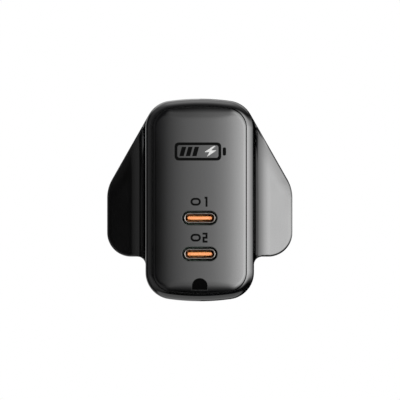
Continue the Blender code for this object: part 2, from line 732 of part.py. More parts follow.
def ring_choke():
    """The line filter: a ferrite ring with two windings."""
    centre_x, centre_y, centre_z = BOARD_FACE + 6.5 * MM, -15.0 * MM, -20.3 * MM
    inner, outer, half = 1.9 * MM, 3.9 * MM, 1.5 * MM
    centre = Vector((centre_x, centre_y, centre_z))

    def section(turn, grow):
        out = Vector((math.cos(turn), math.sin(turn), 0.0))
        corners = [(inner - grow, -half - grow), (outer + grow, -half - grow)]
        corners += [(outer + grow, half + grow), (inner - grow, half + grow)]
        return [centre + out * r + Vector((0, 0, z)) for r, z in corners]

    core = bmesh.new()
    steps = 20
    loops = [
        [core.verts.new(p) for p in section(2 * math.pi * i / steps, 0.0)] for i in range(steps)
    ]
    for i, loop in enumerate(loops):
        following = loops[(i + 1) % steps]
        for j in range(4):
            k = (j + 1) % 4
            core.faces.new((loop[j], loop[k], following[k], following[j]))
    add_piece("choke_core", core, (0.03, 0.09, 0.05), roughness=0.6)
    for name, middle in (("choke_winding_left", math.pi), ("choke_winding_right", 0.0)):
        bm = bmesh.new()
        layers = []
        for grow in (0.9 * MM, 0.36 * MM):
            turns = [middle + math.radians(-60 + 20 * i) for i in range(7)]
            layers.append([[bm.verts.new(p) for p in section(turn, grow)] for turn in turns])
        for layer in layers:
            for first, second in zip(layer, layer[1:]):
                for j in range(4):
                    k = (j + 1) % 4
                    bm.faces.new((first[j], first[k], second[k], second[j]))
        for end in (0, -1):
            for j in range(4):
                k = (j + 1) % 4
                bm.faces.new((layers[0][end][j], layers[0][end][k], layers[1][end][k], layers[1][end][j]))
        add_piece(name, bm, COPPER, roughness=0.3, metallic=1.0)


def disc(name, y, z, radius, thickness, colour):
    """A coated disc on its edge, standing off the main board."""
    profile = [
        (radius * 0.7, -thickness / 2),
        (radius, -thickness / 4),
        (radius, thickness / 4),
        (radius * 0.7, thickness / 2),
    ]
    bm = bmesh.new()
    lathe(bm, profile, (BOARD_FACE + radius + 0.6 * MM, y, z), "Z", 18)
    add_piece(name, bm, colour, roughness=0.4)


def mains_parts():
    """Fuse, filter, rectifier and storage between the pins and the transformer."""
    fuse = bmesh.new()
    radius = 1.8 * MM
    caps = [(radius, 0.0), (radius, 1.6 * MM), (radius * 0.88, 1.7 * MM), (radius * 0.88, 6.3 * MM)]
    caps += [(radius, 6.4 * MM), (radius, 8.0 * MM)]
    lathe(fuse, caps, (BOARD_FACE + 10.2 * MM, -15.8 * MM, 2.9 * MM), "X", 16)
    add_piece("input_fuse", fuse, (0.25, 0.12, 0.06), roughness=0.4)
    disc("surge_thermistor", -15.8 * MM, 4.0 * MM, 3.6 * MM, 1.6 * MM, (0.02, 0.12, 0.05))
    disc("class_y_capacitor", -25.0 * MM, 1.7 * MM, 3.4 * MM, 2.2 * MM, (0.03, 0.12, 0.4))
    x_cap = block((BOARD_FACE + 12.1 * MM, 11.0 * MM), (-19.0 * MM, -11.4 * MM),
                  (-21.8 * MM, -15.6 * MM), 0.4 * MM)
    add_piece("class_x_capacitor", x_cap, (0.75, 0.55, 0.08), roughness=0.4)
    bridge = block((BOARD_FACE, BOARD_FACE + 3 * MM), (-26.4 * MM, -19.4 * MM),
                   (-21.5 * MM, -16.0 * MM), 0.3 * MM)
    add_piece("bridge_rectifier", bridge, CHIP_BLACK, roughness=0.5)
    places = {"a": (-16.2 * MM, 10.6 * MM), "b": (-16.8 * MM, 20.0 * MM), "c": (-25.8 * MM, 15.4 * MM)}
    for letter, (y, z) in places.items():
        radius = 4.2 * MM if letter == "b" else 4.6 * MM
        length = 14.0 * MM if letter == "b" else 19.0 * MM
        lying_can("bulk_capacitor_" + letter, radius, length, y, z, (0.03, 0.03, 0.05))


def output_parts():
    """Switches, feedback, smoothing and port control after the transformer."""
    chips = {
        "primary_controller": ((0.0, 1.4), (-35.2, -31.4), (-6.0, -1.0)),
        "optocoupler": ((0.0, 2.2), (-35.4, -31.2), (1.4, 6.0)),
        "synchronous_rectifier": ((0.0, 1.3), (-35.2, -31.4), (-13.0, -8.0)),
    }
    for name, (x, y, z) in chips.items():
        across = (BOARD_FACE + x[0] * MM, BOARD_FACE + x[1] * MM)
        part = block(across, [v * MM for v in y], [v * MM for v in z], 0.2 * MM)
        add_piece(name, part, CHIP_BLACK, roughness=0.5)
    for letter, z in (("a", 9.6 * MM), ("b", 17.2 * MM)):
        lying_can("output_capacitor_" + letter, 3.1 * MM, 9.0 * MM, -34.6 * MM, z, (0.7, 0.7, 0.72), 1.0)
    for letter, z in (("a", 9.0 * MM), ("b", 16.4 * MM)):
        coil = block((1.4 * MM, 7.6 * MM), (-37.2 * MM, -31.4 * MM), (z - 3 * MM, z + 3 * MM), 0.5 * MM)
        add_piece("output_inductor_" + letter, coil, (0.12, 0.12, 0.125), roughness=0.6)
    behind = -PORT_BOARD_DEPTH + GAP
    chip = block((2.0 * MM, 7.0 * MM), (behind, behind + 0.9 * MM), (-19.6 * MM, -16.0 * MM), 0.15 * MM)
    add_piece("port_controller", chip, CHIP_BLACK, roughness=0.5)


def heat_path():
    """Soft pad, insulating sheet and spreader plate along the right-hand wall."""
    pad = block((9.8 * MM, 10.9 * MM), (-24.5 * MM, -19.4 * MM), (-13.5 * MM, -0.5 * MM), 0.2 * MM)
    add_piece("thermal_pad", pad, (0.35, 0.42, 0.5), roughness=0.8)
    sheet = block((11.3 * MM, 11.6 * MM), (-28.8 * MM, -10.5 * MM), (-20 * MM, 21 * MM))
    add_piece("insulating_sheet", sheet, (0.6, 0.6, 0.58), roughness=0.5)
    spreader = block((11.9 * MM, 12.6 * MM), (-28.0 * MM, -11.5 * MM), (-18 * MM, 18.5 * MM), 0.15 * MM)
    add_piece("heat_spreader", spreader, (0.75, 0.75, 0.77), roughness=0.4, metallic=1.0)


def main():
    clear_scene()
    main_shell()
    front_panel()
    lower_inlay()
    rear_cover()
    live_or_neutral_pin("live_pin", -1)
    live_or_neutral_pin("neutral_pin", 1)
    earth_pin()
    pin_sleeve("live_sleeve", -1)
    pin_sleeve("neutral_sleeve", 1)
    pin_carrier()
    for name, side in (("left", -1), ("right", 1)):
        carrier_screw("carrier_screw_" + name, side)
    contact_spring("live_contact_spring", -1)
    contact_spring("neutral_contact_spring", 1)
    for place_name, height in PORT_HEIGHTS.items():
        usb_port(place_name, height)
    boards()
    transformer()
    ring_choke()
    mains_parts()
    output_parts()
    heat_path()


main()
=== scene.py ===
import math

import bmesh
import bpy
from bpy.props import FloatProperty, FloatVectorProperty, PointerProperty
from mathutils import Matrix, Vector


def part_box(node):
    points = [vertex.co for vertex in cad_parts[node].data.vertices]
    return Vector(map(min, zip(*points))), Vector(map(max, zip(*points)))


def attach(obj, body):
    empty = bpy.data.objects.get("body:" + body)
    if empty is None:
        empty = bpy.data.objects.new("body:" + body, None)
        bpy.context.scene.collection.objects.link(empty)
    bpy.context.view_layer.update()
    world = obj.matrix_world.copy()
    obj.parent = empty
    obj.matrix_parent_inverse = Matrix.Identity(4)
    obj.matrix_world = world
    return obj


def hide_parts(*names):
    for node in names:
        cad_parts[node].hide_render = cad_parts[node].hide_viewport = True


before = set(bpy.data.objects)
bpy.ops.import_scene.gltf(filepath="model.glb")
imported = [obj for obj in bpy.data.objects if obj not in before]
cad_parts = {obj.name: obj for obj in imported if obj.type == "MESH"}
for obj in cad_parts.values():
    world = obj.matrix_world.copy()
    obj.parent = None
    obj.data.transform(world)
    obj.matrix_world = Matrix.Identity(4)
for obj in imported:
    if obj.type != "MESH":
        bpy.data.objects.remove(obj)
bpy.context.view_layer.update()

bl_info = {
    "name": "Two-port wall charger",
    "version": (1, 0, 0),
    "blender": (4, 5, 0),
    "location": "3D View > Sidebar > Charger",
    "description": "Builds a glossy two-port wall charger with a three-pin plug around its solids",
    "category": "Add Mesh",
}

# Lengths are in metres. A depth is a distance in front of the wall, so y = -depth.

MM = 0.001


def hex_to_linear(code):
    """Turns an sRGB hex colour into the linear values that shaders take."""
    values = [int(code[i:i + 2], 16) / 255 for i in (1, 3, 5)]
    return tuple(v / 12.92 if v <= 0.04045 else ((v + 0.055) / 1.055) ** 2.4 for v in values)


def box_plan(node):
    """Width and height of a solid, and its middle, as they show from the front."""
    low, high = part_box(node)
    return (high.x - low.x, high.z - low.z), ((low.x + high.x) / 2, (low.z + high.z) / 2)


def port_centre(name):
    return box_plan("usb_shell_" + name)[1][1]


# Places and sizes that the solids give

SHELL_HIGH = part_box("main_shell")[1]
PANEL_LOW, PANEL_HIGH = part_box("front_panel")
CASE_DEPTH = -PANEL_LOW.y
CASE_HALF_HEIGHT = SHELL_HIGH.z
WING_HALF_WIDTH = SHELL_HIGH.x
SEAM_DEPTH = -SHELL_HIGH.y
PANEL_BACK = -PANEL_HIGH.y

# The case: walls, gaps and rounded corners

GAP = 0.3 * MM
WALL = 1.6 * MM
FRONT_WALL_INNER = PANEL_BACK - GAP - WALL
CASE_HALF_WIDTH = PANEL_HIGH.x + 2.1 * MM + GAP
BORDER_WIDTH = 1.93 * MM
BORDER_FLAT = 0.25 * MM  # what the border has before it starts to roll
CORNER_RADIUS = 7.3 * MM
CROWN_RADIUS = 60 * MM
CROWN_STEPS = (14, 18)  # columns along the crown and round the corner
POCKET_DEPTH = 4.2 * MM  # the wings are solid in front of this depth
BEND_ZONE = 0.8 * MM  # only what is this near the faceplate's front gets bent
SHARP_ANGLE = math.radians(40)  # edges bent by more than this are sharp
CASE_SMOOTH_DEG = 30
SMOOTH_DEG = 35

# The wings, the hollow at their root, and the fine groove that sets them off from the case

WING_SLOPE_DEG = 29.6
WING_TOP_RADIUS = 10 * MM
WING_BOTTOM_RADIUS = 6.5 * MM
WING_BOTTOM_Z = -15.3 * MM
WING_DEPTH = 6.5 * MM
WING_FALL = 0.095
COVE_WIDTH = 3.8 * MM
COVE_HEIGHT = 5 * MM
GROOVE_WIDTH = 0.5 * MM
GROOVE_DEPTH = 1.8 * MM
SHOULDER_WIDTH = 3 * MM

# Ports and inlay

PORT_OPENING = (9.65 * MM, 4.05 * MM)
PORT_NAMES = ("upper", "lower")
TONGUE_WIDTH = 6.69 * MM
TONGUE_THICKNESS = 0.95 * MM
INLAY_RADIUS = 2.1 * MM
INLAY_CENTRE_Z = -23.2 * MM
INLAY_FOOT_Z = INLAY_CENTRE_Z - 1.1 * MM

# Plug pins

PIN_NAMES = ("live", "neutral", "earth")
FLANGE_RIM = 1.4 * MM  # how much wider a pin's flange is than the pin
SMALLEST_RADIUS = 0.12 * MM

# Recess for the label in the rear cover

LABEL_SIZE = (20 * MM, 7 * MM)
LABEL_RADIUS = 1.5 * MM
LABEL_Z = -18.5 * MM
LABEL_DEPTH = 0.25 * MM

# Centres and directions of the arcs that the case's outline is made of

CORNER_X = CASE_HALF_WIDTH - CORNER_RADIUS
CROWN_CENTRE_Z = CASE_HALF_HEIGHT - CROWN_RADIUS
CORNER_Z = CROWN_CENTRE_Z + math.sqrt((CROWN_RADIUS - CORNER_RADIUS) ** 2 - CORNER_X**2)
CROWN_DEG = 90 - math.degrees(math.asin(CORNER_X / (CROWN_RADIUS - CORNER_RADIUS)))
SLOPE = math.radians(WING_SLOPE_DEG)
SLOPE_OUT = (math.cos(SLOPE), math.sin(SLOPE))
SLOPE_OFFSET = CORNER_X * SLOPE_OUT[0] + CORNER_Z * SLOPE_OUT[1] + CORNER_RADIUS
WING_TOP_X = WING_HALF_WIDTH - WING_TOP_RADIUS
WING_TOP_Z = (SLOPE_OFFSET - WING_TOP_RADIUS - WING_TOP_X * SLOPE_OUT[0]) / SLOPE_OUT[1]
WING_BOTTOM_X = WING_HALF_WIDTH - WING_BOTTOM_RADIUS
WING_BOTTOM_CENTRE_Z = WING_BOTTOM_Z + WING_BOTTOM_RADIUS


# Settings that a user would change


def length(name, description, size, low=0.0):
    return FloatProperty(name=name, description=description, default=size, min=low,
                         precision=6, unit="LENGTH")


def slope(name, description, size):
    return FloatProperty(name=name, description=description, default=size, min=0.0, max=1.0,
                         precision=2, subtype="FACTOR")


def colour(name, description, code):
    return FloatVectorProperty(name=name, description=description, default=hex_to_linear(code),
                               size=3, min=0.0, max=1.0, subtype="COLOR")


class ChargerSizes(bpy.types.PropertyGroup):
    """Sizes of the soft shapes that the solids leave plain"""

    panel_dome: length(
        "Faceplate dome", "How far the faceplate's long sides sit behind its middle", 0.6 * MM)
    panel_edge_drop: length(
        "Faceplate edge drop", "How far the faceplate's rounded ends fall away", 0.42 * MM)
    panel_side_drop: length(
        "Faceplate side drop", "How far the faceplate's long edges fall away", 0.05 * MM)
    panel_side_edge: length(
        "Side edge width", "Width of the rounding along the faceplate's long sides", 0.5 * MM, 0.1 * MM)
    panel_end_edge: length(
        "End edge width", "Width of the rounding along the faceplate's short ends", 3.4 * MM, 0.1 * MM)
    seam: length("Faceplate seam", "Width of the fine line round the faceplate", 0.24 * MM)
    border_front: length(
        "Border step", "How far the border sits behind the middle of the faceplate", 0.66 * MM)
    border_side_slope: slope(
        "Border side slope", "Slope that the border starts with along the case's long sides", 0.12)
    border_end_slope: slope(
        "Border end slope", "Slope that the border starts with at the case's short ends", 0.32)
    border_roll: length(
        "Border roll", "Depth over which the border rolls into the side walls", 1.75 * MM, 0.5 * MM)
    wing_rim: length("Wing rim radius", "Rounding along the wings' front edge", 0.5 * MM, 0.1 * MM)
    wing_fillet: length(
        "Wing fillet", "Hollow rounding where a wing's underside meets the case", 2.2 * MM, 0.5 * MM)
    wing_shoulder: length(
        "Wing shoulder", "How far a wing's front falls away along its slanted edge", 0.12 * MM)
    ink_height: length("Ink height", "How far the printed marks stand off the faceplate", 0.03 * MM)
    mark_stroke: length("Mark stroke", "Width of the lines of the printed marks", 0.54 * MM, 0.1 * MM)
    pin_corner: length(
        "Pin corner radius", "Rounding along the long edges of the plug pins", 0.35 * MM, 0.1 * MM)


class ChargerColours(bpy.types.PropertyGroup):
    """Colours of the surfaces that show"""

    case: colour("Case", "Black polycarbonate of the case", "#030303")
    haze: colour("Surface haze", "Slightly paler black where the polish is thinner", "#050506")
    dark_ink: colour("Dark ink", "Black pad-printed ink", "#030303")
    pale_ink: colour("Pale ink", "Pale grey pad-printed ink", "#b4b4b3")
    nickel: colour("Nickel", "Nickel plating on the brass pins", "#b2aca0")
    tongue: colour("Port tongue", "Orange resin of the port tongues", "#e28f55")


# Modelling helpers


def start_fresh():
    """Nothing is selected, so an operator acts only on what is added next."""
    if bpy.context.mode != "OBJECT":
        bpy.ops.object.mode_set(mode="OBJECT")
    bpy.ops.object.select_all(action="DESELECT")


def pick(piece):
    start_fresh()
    piece.select_set(True)
    bpy.context.view_layer.objects.active = piece


def shape_active(name, points):
    """Names the object just added and moves its vertices to the points."""
    piece = bpy.context.object
    piece.name = piece.data.name = name
    piece.data.vertices.foreach_set("co", [value for point in points for value in point])
    return piece


def skin(name, rings, capped=True, smooth_deg=SMOOTH_DEG):
    """A grid shaped into a skin through rings of points, closed round and capped at both ends."""
    start_fresh()
    bpy.ops.mesh.primitive_grid_add(x_subdivisions=len(rings[0]), y_subdivisions=len(rings) - 1, size=1)
    piece = shape_active(name, [point for ring in rings for point in (*ring, ring[0])])
    bpy.ops.object.mode_set(mode="EDIT")
    bpy.ops.mesh.select_all(action="SELECT")
    bpy.ops.mesh.remove_doubles(threshold=1e-6)
    if capped:
        bpy.ops.mesh.fill_holes(sides=0)
    bpy.ops.mesh.select_all(action="SELECT")
    bpy.ops.mesh.normals_make_consistent(inside=False)
    bpy.ops.object.mode_set(mode="OBJECT")
    for layer in list(piece.data.uv_layers):
        piece.data.uv_layers.remove(layer)
    round_off(piece, smooth_deg)
    return piece


def round_off(piece, degrees):
    pick(piece)
    bpy.ops.object.shade_smooth_by_angle(angle=math.radians(degrees))


def apply_modifier(piece, kind, **settings):
    pick(piece)
    modifier = piece.modifiers.new(kind.lower(), kind)
    for key, value in settings.items():
        setattr(modifier, key, value)
    bpy.ops.object.modifier_apply(modifier=modifier.name)


def carve(piece, cutter, operation="DIFFERENCE"):
    """Cuts the piece with a closed cutter, which is then removed."""
    apply_modifier(piece, "BOOLEAN", operation=operation, solver="EXACT", object=cutter)
    bpy.data.objects.remove(cutter, do_unlink=True)


def bevel_edges(piece, chooser, width):
    """Rounds the sharp edges whose two end points the chooser accepts."""
    pick(piece)
    bpy.ops.object.mode_set(mode="EDIT")
    bpy.ops.mesh.select_all(action="DESELECT")
    work = bmesh.from_edit_mesh(piece.data)
    for edge in work.edges:
        first, second = (vert.co for vert in edge.verts)
        faces = edge.link_faces
        bent = len(faces) == 2 and faces[0].normal.angle(faces[1].normal, 0.0) > SHARP_ANGLE
        edge.select_set(bool(bent and chooser(first) and chooser(second)))
    bmesh.update_edit_mesh(piece.data)
    bpy.ops.mesh.bevel(offset=width, segments=2, affect="EDGES")
    bpy.ops.object.mode_set(mode="OBJECT")


def slice_across(piece, positions, axis):
    """Bisects the whole mesh at each position, so that its flat faces can be bent afterwards."""
    pick(piece)
    bpy.ops.object.mode_set(mode="EDIT")
    for position in positions:
        spot, normal = [0.0, 0.0, 0.0], [0.0, 0.0, 0.0]
        spot[axis], normal[axis] = position, 1.0
        bpy.ops.mesh.select_all(action="SELECT")
        bpy.ops.mesh.bisect(plane_co=spot, plane_no=normal)
    bpy.ops.object.mode_set(mode="OBJECT")


def join_pieces(name, pieces):
    start_fresh()
    for piece in pieces:
        piece.select_set(True)
    bpy.context.view_layer.objects.active = pieces[0]
    bpy.ops.object.join()
    made = bpy.context.view_layer.objects.active
    made.name = made.data.name = name
    return made


def finish_piece(piece, finish, slot, *nodes):
    """Gives a finished piece its material, by name, hangs it under the root and hides the solids that
    it stands in for.
    """
    pick(piece)
    bpy.ops.object.transform_apply(location=True, rotation=True, scale=True)
    piece.data.materials.clear()
    piece.data.materials.append(bpy.data.materials[finish])
    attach(piece, "root")
    if nodes:
        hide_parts(*nodes)


# Outlines, as (x, z) points


def arc(centre, radius, start_deg, end_deg, steps):
    turns = [math.radians(start_deg + (end_deg - start_deg) * i / steps) for i in range(steps + 1)]
    return [(centre[0] + radius * math.cos(t), centre[1] + radius * math.sin(t)) for t in turns]


def rounded_rectangle(width, height, radius, centre=(0.0, 0.0), steps=6):
    points = []
    for start_deg, side, end in ((0, 1, 1), (90, -1, 1), (180, -1, -1), (270, 1, -1)):
        corner = (centre[0] + side * (width / 2 - radius), centre[1] + end * (height / 2 - radius))
        points += arc(corner, radius, start_deg, start_deg + 90, steps)
    return points


def stadium(width, height, centre=(0.0, 0.0), steps=16):
    """A slot with half-round ends."""
    return rounded_rectangle(width, height, height / 2, centre, steps // 2)


def at_depth(outline, depth):
    return [(x, -depth, z) for x, z in outline]


def prism(name, outline, low_depth, high_depth):
    return skin(name, [at_depth(outline, low_depth), at_depth(outline, high_depth)])


def arch_outline(grow=0.0):
    """A half-round top on short straight legs."""
    radius = INLAY_RADIUS + grow
    foot = INLAY_FOOT_Z - grow
    return arc((0.0, INLAY_CENTRE_Z), radius, 0, 180, 28) + [(-radius, foot), (radius, foot)]


def mirrored(right_half):
    """Closes a right half whose first and last points lie on x = 0."""
    return right_half + [(-p[0], *p[1:]) for p in reversed(right_half[1:-1])]

def quarter(steps, first=1):
    """Sine, and one minus cosine, from 0 to 90 degrees: the profile of a rounded edge."""
    turns = [math.pi / 2 * i / steps for i in range(first, steps + 1)]
    return [(math.sin(turn), 1 - math.cos(turn)) for turn in turns]


# The case skin. Each column runs from the faceplate's border, down the side wall, out over the
# wing where there is one, and down its edge to the seam at the wall.


def column(base, out, reach=0.0, normal=None, rim=0.0, spread=None):
    """base and out: a point of the case outline and its outward direction. reach: how far the
    wing's front runs before its rim. spread: the full width that the rows divide."""
    return {"base": base, "out": out, "reach": reach, "normal": normal or out, "rim": rim,
            "spread": reach if spread is None else spread}


def column_point(c, distance, beyond, depth):
    """A point of a column: how far out from the case, how far beyond that past the wing's edge,
    and at what depth."""
    return (c["base"][0] + c["out"][0] * distance + c["normal"][0] * beyond, -depth,
            c["base"][1] + c["out"][1] * distance + c["normal"][1] * beyond)


def unit(degrees):
    return math.cos(math.radians(degrees)), math.sin(math.radians(degrees))


def corner_column(out, *wing):
    base = (CORNER_X + CORNER_RADIUS * out[0], CORNER_Z + CORNER_RADIUS * out[1])
    return column(base, out, *wing)


def crown_and_corner(stop_deg, steps=CROWN_STEPS):
    """Plain columns from the middle of the top end round the corner to stop_deg."""
    columns = []
    for i in range(steps[0]):
        out = unit(90 + (CROWN_DEG - 90) * i / steps[0])
        columns.append(column((CROWN_RADIUS * out[0], CROWN_CENTRE_Z + CROWN_RADIUS * out[1]), out))
    for i in range(steps[1] + 1):
        columns.append(corner_column(unit(CROWN_DEG + (stop_deg - CROWN_DEG) * i / steps[1])))
    return columns


def wing_distances(width, cove_steps=14, flat_steps=8):
    """Distances from the case's side across a wing, close together in the hollow."""
    cove = min(COVE_WIDTH, 0.8 * width)
    groove = min(GROOVE_WIDTH, 0.2 * width)
    distances = [0.0]
    for i in range(cove_steps + 1):
        distances.append(groove + (cove - groove) * (1 - math.cos(math.pi / 2 * i / cove_steps)))
    return distances + [cove + (width - cove) * (i + 1) / flat_steps for i in range(flat_steps)]


def wing_front_depth(distance):
    share = min(max(distance, GROOVE_WIDTH) / COVE_WIDTH, 1.0)
    cove = COVE_HEIGHT * (1 - math.sqrt(1 - (1 - share) ** 2))
    groove = GROOVE_DEPTH * max(0.0, 1 - distance / GROOVE_WIDTH)
    return WING_DEPTH + cove - groove - WING_FALL * distance


def shoulder_drop(c, distance, amount):
    """How far the wing's front falls away near its slanted upper edge."""
    steep = max(0.0, c["normal"][1] / SLOPE_OUT[1]) if c["reach"] > 0 else 0.0
    facing = c["out"][0] * c["normal"][0] + c["out"][1] * c["normal"][1]
    share = min((c["reach"] - distance) * facing / SHOULDER_WIDTH, 1.0)
    return amount * min(steep, 1.0) * (1 - share) ** 2


def side_column(inner, normal, rim):
    """A column across the wing at the height of a point on the rim's inner line."""
    x, z = inner
    return column((CASE_HALF_WIDTH, z), (1.0, 0.0), x - CASE_HALF_WIDTH, normal, rim)


def wing_columns(rim, fillet):
    """Columns of the right wing, from its top, where it leaves the corner, to the case below."""
    columns = []
    corner_steps, slant_steps, widening_steps, fillet_steps = 12, 17, 4, 12
    for i in range(1, corner_steps + 1):  # the wing grows out of the corner
        out = unit(WING_SLOPE_DEG * (1 - i / corner_steps))
        facing = out[0] * SLOPE_OUT[0] + out[1] * SLOPE_OUT[1]
        width = CORNER_RADIUS / facing - CORNER_RADIUS
        edge = min(rim, 0.5 * width)
        columns.append(corner_column(out, width - edge / facing, SLOPE_OUT, edge))
    top_start = WING_TOP_Z + WING_TOP_RADIUS * SLOPE_OUT[1]
    first_edge = columns[-1]["rim"]
    for i in range(1, slant_steps):
        z = CORNER_Z + (top_start - CORNER_Z) * i / slant_steps
        edge = first_edge + (rim - first_edge) * min(i / widening_steps, 1.0)
        x = (SLOPE_OFFSET - edge - z * SLOPE_OUT[1]) / SLOPE_OUT[0]
        columns.append(side_column((x, z), SLOPE_OUT, edge))
    for centre, radius, start, end, steps in (
        ((WING_TOP_X, WING_TOP_Z), WING_TOP_RADIUS, WING_SLOPE_DEG, 0, 9),
        ((WING_BOTTOM_X, WING_BOTTOM_CENTRE_Z), WING_BOTTOM_RADIUS, 0, -90, 24),
    ):
        for i, inner in enumerate(arc(centre, radius - rim, start, end, steps)):
            columns.append(side_column(inner, unit(start + (end - start) * i / steps), rim))
    last = columns[-1]
    for distance in reversed(wing_distances(last["reach"])):  # along the straight underside
        if fillet < distance < last["reach"] - 1e-7:
            columns.append(
                column(last["base"], last["out"], distance, (0.0, -1.0), rim, last["reach"]))
    centre = (CASE_HALF_WIDTH + fillet, WING_BOTTOM_Z - fillet)
    for i in range(fillet_steps + 1):
        turn = unit(90 + 90 * i / fillet_steps)
        across = 1 + turn[0]
        edge = min(rim, 0.5 * fillet * across / max(-turn[0], 1e-6))
        x, z = (centre[k] + (fillet + edge) * turn[k] for k in (0, 1))
        columns.append(side_column((max(x, CASE_HALF_WIDTH), z), (-turn[0], -turn[1]), edge))
    return columns


def lower_columns(fillet, side_steps=5):
    """Plain columns from under the wing to the middle of the bottom end."""
    columns = []
    start = WING_BOTTOM_Z - fillet
    for i in range(1, side_steps):
        z = start + (-CORNER_Z - start) * i / side_steps
        columns.append(column((CASE_HALF_WIDTH, z), (1.0, 0.0)))
    for plain in reversed(crown_and_corner(0)):
        (x, z), (out_x, out_z) = plain["base"], plain["out"]
        columns.append(column((x, -z), (out_x, -out_z)))
    return columns


def outline_columns(rim, fillet):
    """Columns of the whole right half, from the middle of the top to the middle of the bottom."""
    return crown_and_corner(WING_SLOPE_DEG) + wing_columns(rim, fillet) + lower_columns(fillet)


def case_rings(sizes):
    """Rings of the whole case wall, from the floor of the faceplate's recess to its cavity."""
    columns = outline_columns(sizes.wing_rim, sizes.wing_fillet)
    front = CASE_DEPTH - sizes.border_front
    roll = BORDER_WIDTH - BORDER_FLAT
    roll_steps, side_steps, rim_steps = 18, 8, 6

    def inset(amount, depth):
        return [column_point(c, -amount, 0.0, depth) for c in columns]

    def border(amount, depth):
        """The border starts with a slope, steeper at the case's ends than along its sides."""
        ring = []
        for c in columns:
            share = c["out"][1] ** 2
            start = sizes.border_end_slope * share + sizes.border_side_slope * (1 - share)
            ring.append(column_point(c, -amount, 0.0, depth - start * (BORDER_WIDTH - amount)))
        return ring

    def front_depth(c, distance):
        return wing_front_depth(distance) - shoulder_drop(c, distance, sizes.wing_shoulder)

    rings = [inset(BORDER_WIDTH, PANEL_BACK - GAP), border(BORDER_WIDTH, front)]
    for across, back in quarter(roll_steps, 0):
        rings.append(border(roll * (1 - across), front - sizes.border_roll * back))
    side_top = front - sizes.border_roll
    side_foot = wing_front_depth(0.0)
    for i in range(1, side_steps):
        rings.append(inset(0.0, side_top + (side_foot - side_top) * i / side_steps))
    for row in range(len(wing_distances(1.0))):
        ring = []
        for c in columns:
            distance = min(wing_distances(c["spread"])[row], c["reach"])
            ring.append(column_point(c, distance, 0.0, front_depth(c, distance)))
        rings.append(ring)
    for across, back in quarter(rim_steps):
        rings.append([column_point(c, c["reach"], c["rim"] * across,
                                   front_depth(c, c["reach"]) - c["rim"] * back) for c in columns])
    nip = 0.15 * MM  # small rounding at the seam
    for step_in, depth in ((0.0, SEAM_DEPTH + nip), (0.3 * nip, SEAM_DEPTH + 0.3 * nip),
                           (nip, SEAM_DEPTH), (WALL, SEAM_DEPTH), (WALL, POCKET_DEPTH)):
        rings.append([column_point(c, c["reach"], c["rim"] - step_in, depth) for c in columns])
    rings += [inset(WALL, POCKET_DEPTH), inset(WALL, FRONT_WALL_INNER)]
    return [mirrored(ring) for ring in rings]


# The faceplate is modelled flat and then bent, so its holes stay clean


def edge_distance(x, z):
    """How far a point lies inside the case's outline."""
    x, z = abs(x), abs(z)
    if z > CORNER_Z and x > CORNER_X:
        if math.degrees(math.atan2(z - CORNER_Z, x - CORNER_X)) < CROWN_DEG:
            return CORNER_RADIUS - math.hypot(x - CORNER_X, z - CORNER_Z)
    side = CASE_HALF_WIDTH - x
    return min(side, CROWN_RADIUS - math.hypot(x, z - CROWN_CENTRE_Z)) if z > CORNER_Z else side


def panel_drop(x, z, sizes):
    """How far the faceplate's front lies behind its middle at a point."""
    half = CASE_HALF_WIDTH - BORDER_WIDTH
    ends = max(0.0, 1 - (abs(x) / half) ** 3) ** 2 if abs(z) > CORNER_Z else 0.0
    width = sizes.panel_side_edge + (sizes.panel_end_edge - sizes.panel_side_edge) * ends
    fall = sizes.panel_side_drop + (sizes.panel_edge_drop - sizes.panel_side_drop) * ends
    share = max(0.0, min((edge_distance(x, z) - BORDER_WIDTH - sizes.seam) / width, 1.0))
    return sizes.panel_dome * (x / half) ** 2 + fall * (1 - share) ** 2.2


def bend_front(piece, sizes):
    """Moves what lies near the faceplate's front back to its domed surface."""
    for vert in piece.data.vertices:
        if -vert.co.y > CASE_DEPTH - BEND_ZONE:
            vert.co.y += panel_drop(vert.co.x, vert.co.z, sizes)
    piece.data.update()


def plain_ring(inset, depth):
    """A closed line round the case's front, inset from its outline."""
    right = [column_point(c, -inset, 0.0, depth) for c in crown_and_corner(0, (20, 26))]
    right += [(x, y, -z) for x, y, z in reversed(right)]
    return mirrored(right)


def shade_like(piece, source):
    """Takes the shading of an uncut copy, so that the openings leave the gloss undisturbed."""
    apply_modifier(piece, "DATA_TRANSFER", object=source, use_loop_data=True,
                   data_types_loops={"CUSTOM_NORMAL"}, loop_mapping="POLYINTERP_NEAREST",
                   use_max_distance=True, max_distance=0.004 * MM)
    bpy.data.objects.remove(source, do_unlink=True)


def panel_blank(name, sizes):
    """The flat faceplate with extra rings along its edge."""
    start = BORDER_WIDTH + sizes.seam
    edge = 0.03 * MM
    # the sides lean out towards the back, so that the seam narrows to nothing and stays dark
    rings = [plain_ring(BORDER_WIDTH + 0.01 * MM, PANEL_BACK), plain_ring(start, CASE_DEPTH - edge),
             plain_ring(start + 0.3 * edge, CASE_DEPTH - 0.3 * edge)]
    steps, crowding = 12, 1.6  # the rings lie closer together towards the edge
    for i in range(steps + 1):
        inward = (sizes.panel_end_edge - edge) * (i / steps) ** crowding
        rings.append(plain_ring(start + edge + inward, CASE_DEPTH))
    return skin(name, rings)


def bend_plate(plate, sizes):
    """Divides a faceplate finely enough and bends it."""
    count = 24
    half = CASE_HALF_WIDTH - BORDER_WIDTH
    slice_across(plate, [half * (2 * i / count - 1) for i in range(1, count)], 0)
    slice_across(plate, [CORNER_Z * (2 * i / count - 1) for i in range(count + 1)], 2)
    bend_front(plate, sizes)
    round_off(plate, SMOOTH_DEG)


# Materials

PLASTIC_IOR = 1.5


